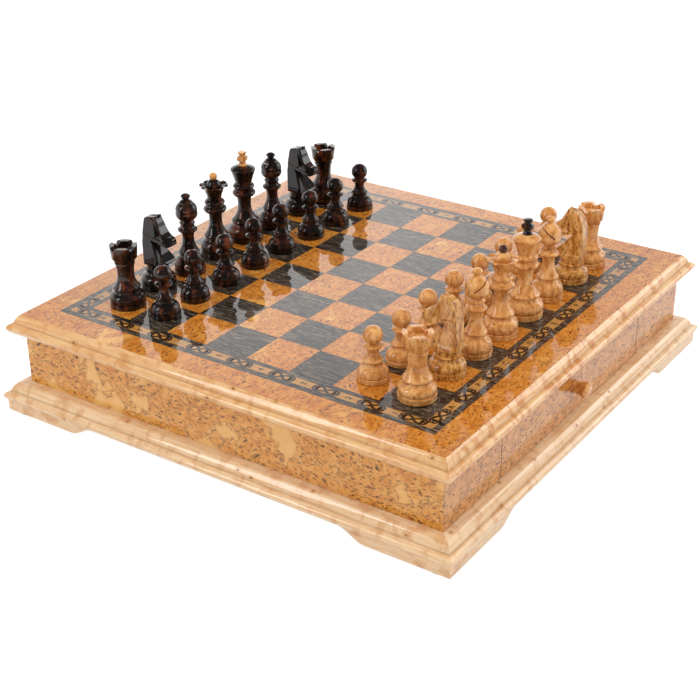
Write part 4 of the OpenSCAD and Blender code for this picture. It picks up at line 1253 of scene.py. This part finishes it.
def standingAt(node):
    # Middle of a man's foot disc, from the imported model
    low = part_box(node)[0]
    foot = [v.co for v in nodes[node].data.vertices if v.co.z < low[2] + 3 * mm]
    middle = [(min(v[i] for v in foot) + max(v[i] for v in foot)) / 2 for i in (0, 1)]
    return Vector((middle[0], middle[1], low[2]))


def turnTopper(node, man, degrees, finish):
    # Finials are glued in by hand, and this one stands turned on its king
    low, high = (Vector(v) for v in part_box(node))
    middle = Matrix.Translation((low + high) / 2)
    shape = bmesh.new()
    shape.from_mesh(nodes[node].data)
    bmesh.ops.remove_doubles(shape, verts=shape.verts, dist=1e-6)
    mesh = bpy.data.meshes.new(node)
    shape.to_mesh(mesh)
    shape.free()
    mesh.transform(middle @ Matrix.Rotation(math.radians(degrees), 4, "Z") @ middle.inverted())
    piece = finishPiece("lightKingFinialTurned", mesh, finishes[finish], man, node, sharp=40)


def placeMen():
    for node in sorted(nodes):
        parts = node.split("_")
        if parts[0] not in ("light", "dark") or len(parts) != 3 or parts[1] == "squares":
            continue
        kind = parts[0] + "Knight" if parts[1] == "knight" else parts[1]
        finish = {"lightKnight": "lightFlecked", "darkKnight": "darkPlain"}.get(kind, parts[0])
        turn = math.radians(men["turns"].get(node, 0) + (0 if parts[0] == "light" else 180))
        mesh = shapes[kind].copy()
        mesh.transform(Matrix.Translation(standingAt(node)) @ Matrix.Rotation(turn, 4, "Z"))
        piece = finishPiece(parts[0] + parts[1].capitalize() + parts[2].capitalize(), mesh, finishes[finish],
                            node, node, sharp=40)
    for node in nodes:
        if node.endswith(("_finial", "_ball")):
            setFinish(node, "dark" if node.startswith("light") else "light")
    turnTopper("light_king_e1_finial", "light_king_e1", men["finialTurn"], "dark")


placeMen()
print("the men stand on their squares")


# Painted shadow in the gaps beside the drawers: sizes in mm
endGrain = {"gap": 0.8, "skin": 0.1, "sunk": 0.3, "inset": 0.05}


def darkenEnds(side):
    # Thin dark skins on both sides of the gap at each end of a drawer's face: painted shadow where the gap
    # holds only shade
    g = endGrain
    low, high = (Vector(v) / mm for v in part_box(f"{side}_drawer_face"))
    y, z = ((low[i] + g["inset"], high[i] - g["inset"]) for i in (1, 2))
    edge = [(y[0], z[0]), (y[1], z[0]), (y[1], z[1]), (y[0], z[1])]
    for name, body, inner, outer in (
            ("DrawerEndGrain", f"{side}_drawer", high[0] - g["sunk"], high[0] + g["skin"]),
            ("CheekEndGrain", "case", high[0] + g["gap"] - g["skin"], high[0] + g["gap"] + g["sunk"])):
        ends = [slab(edge, sign * inner, sign * outer, 0) for sign in (-1, 1)]
        piece = finishPiece(side + name, joined(name, ends), finishes["endGrain"], body)


for side in ("front", "back"):
    darkenEnds(side)
print("the drawers' gaps are darkened")
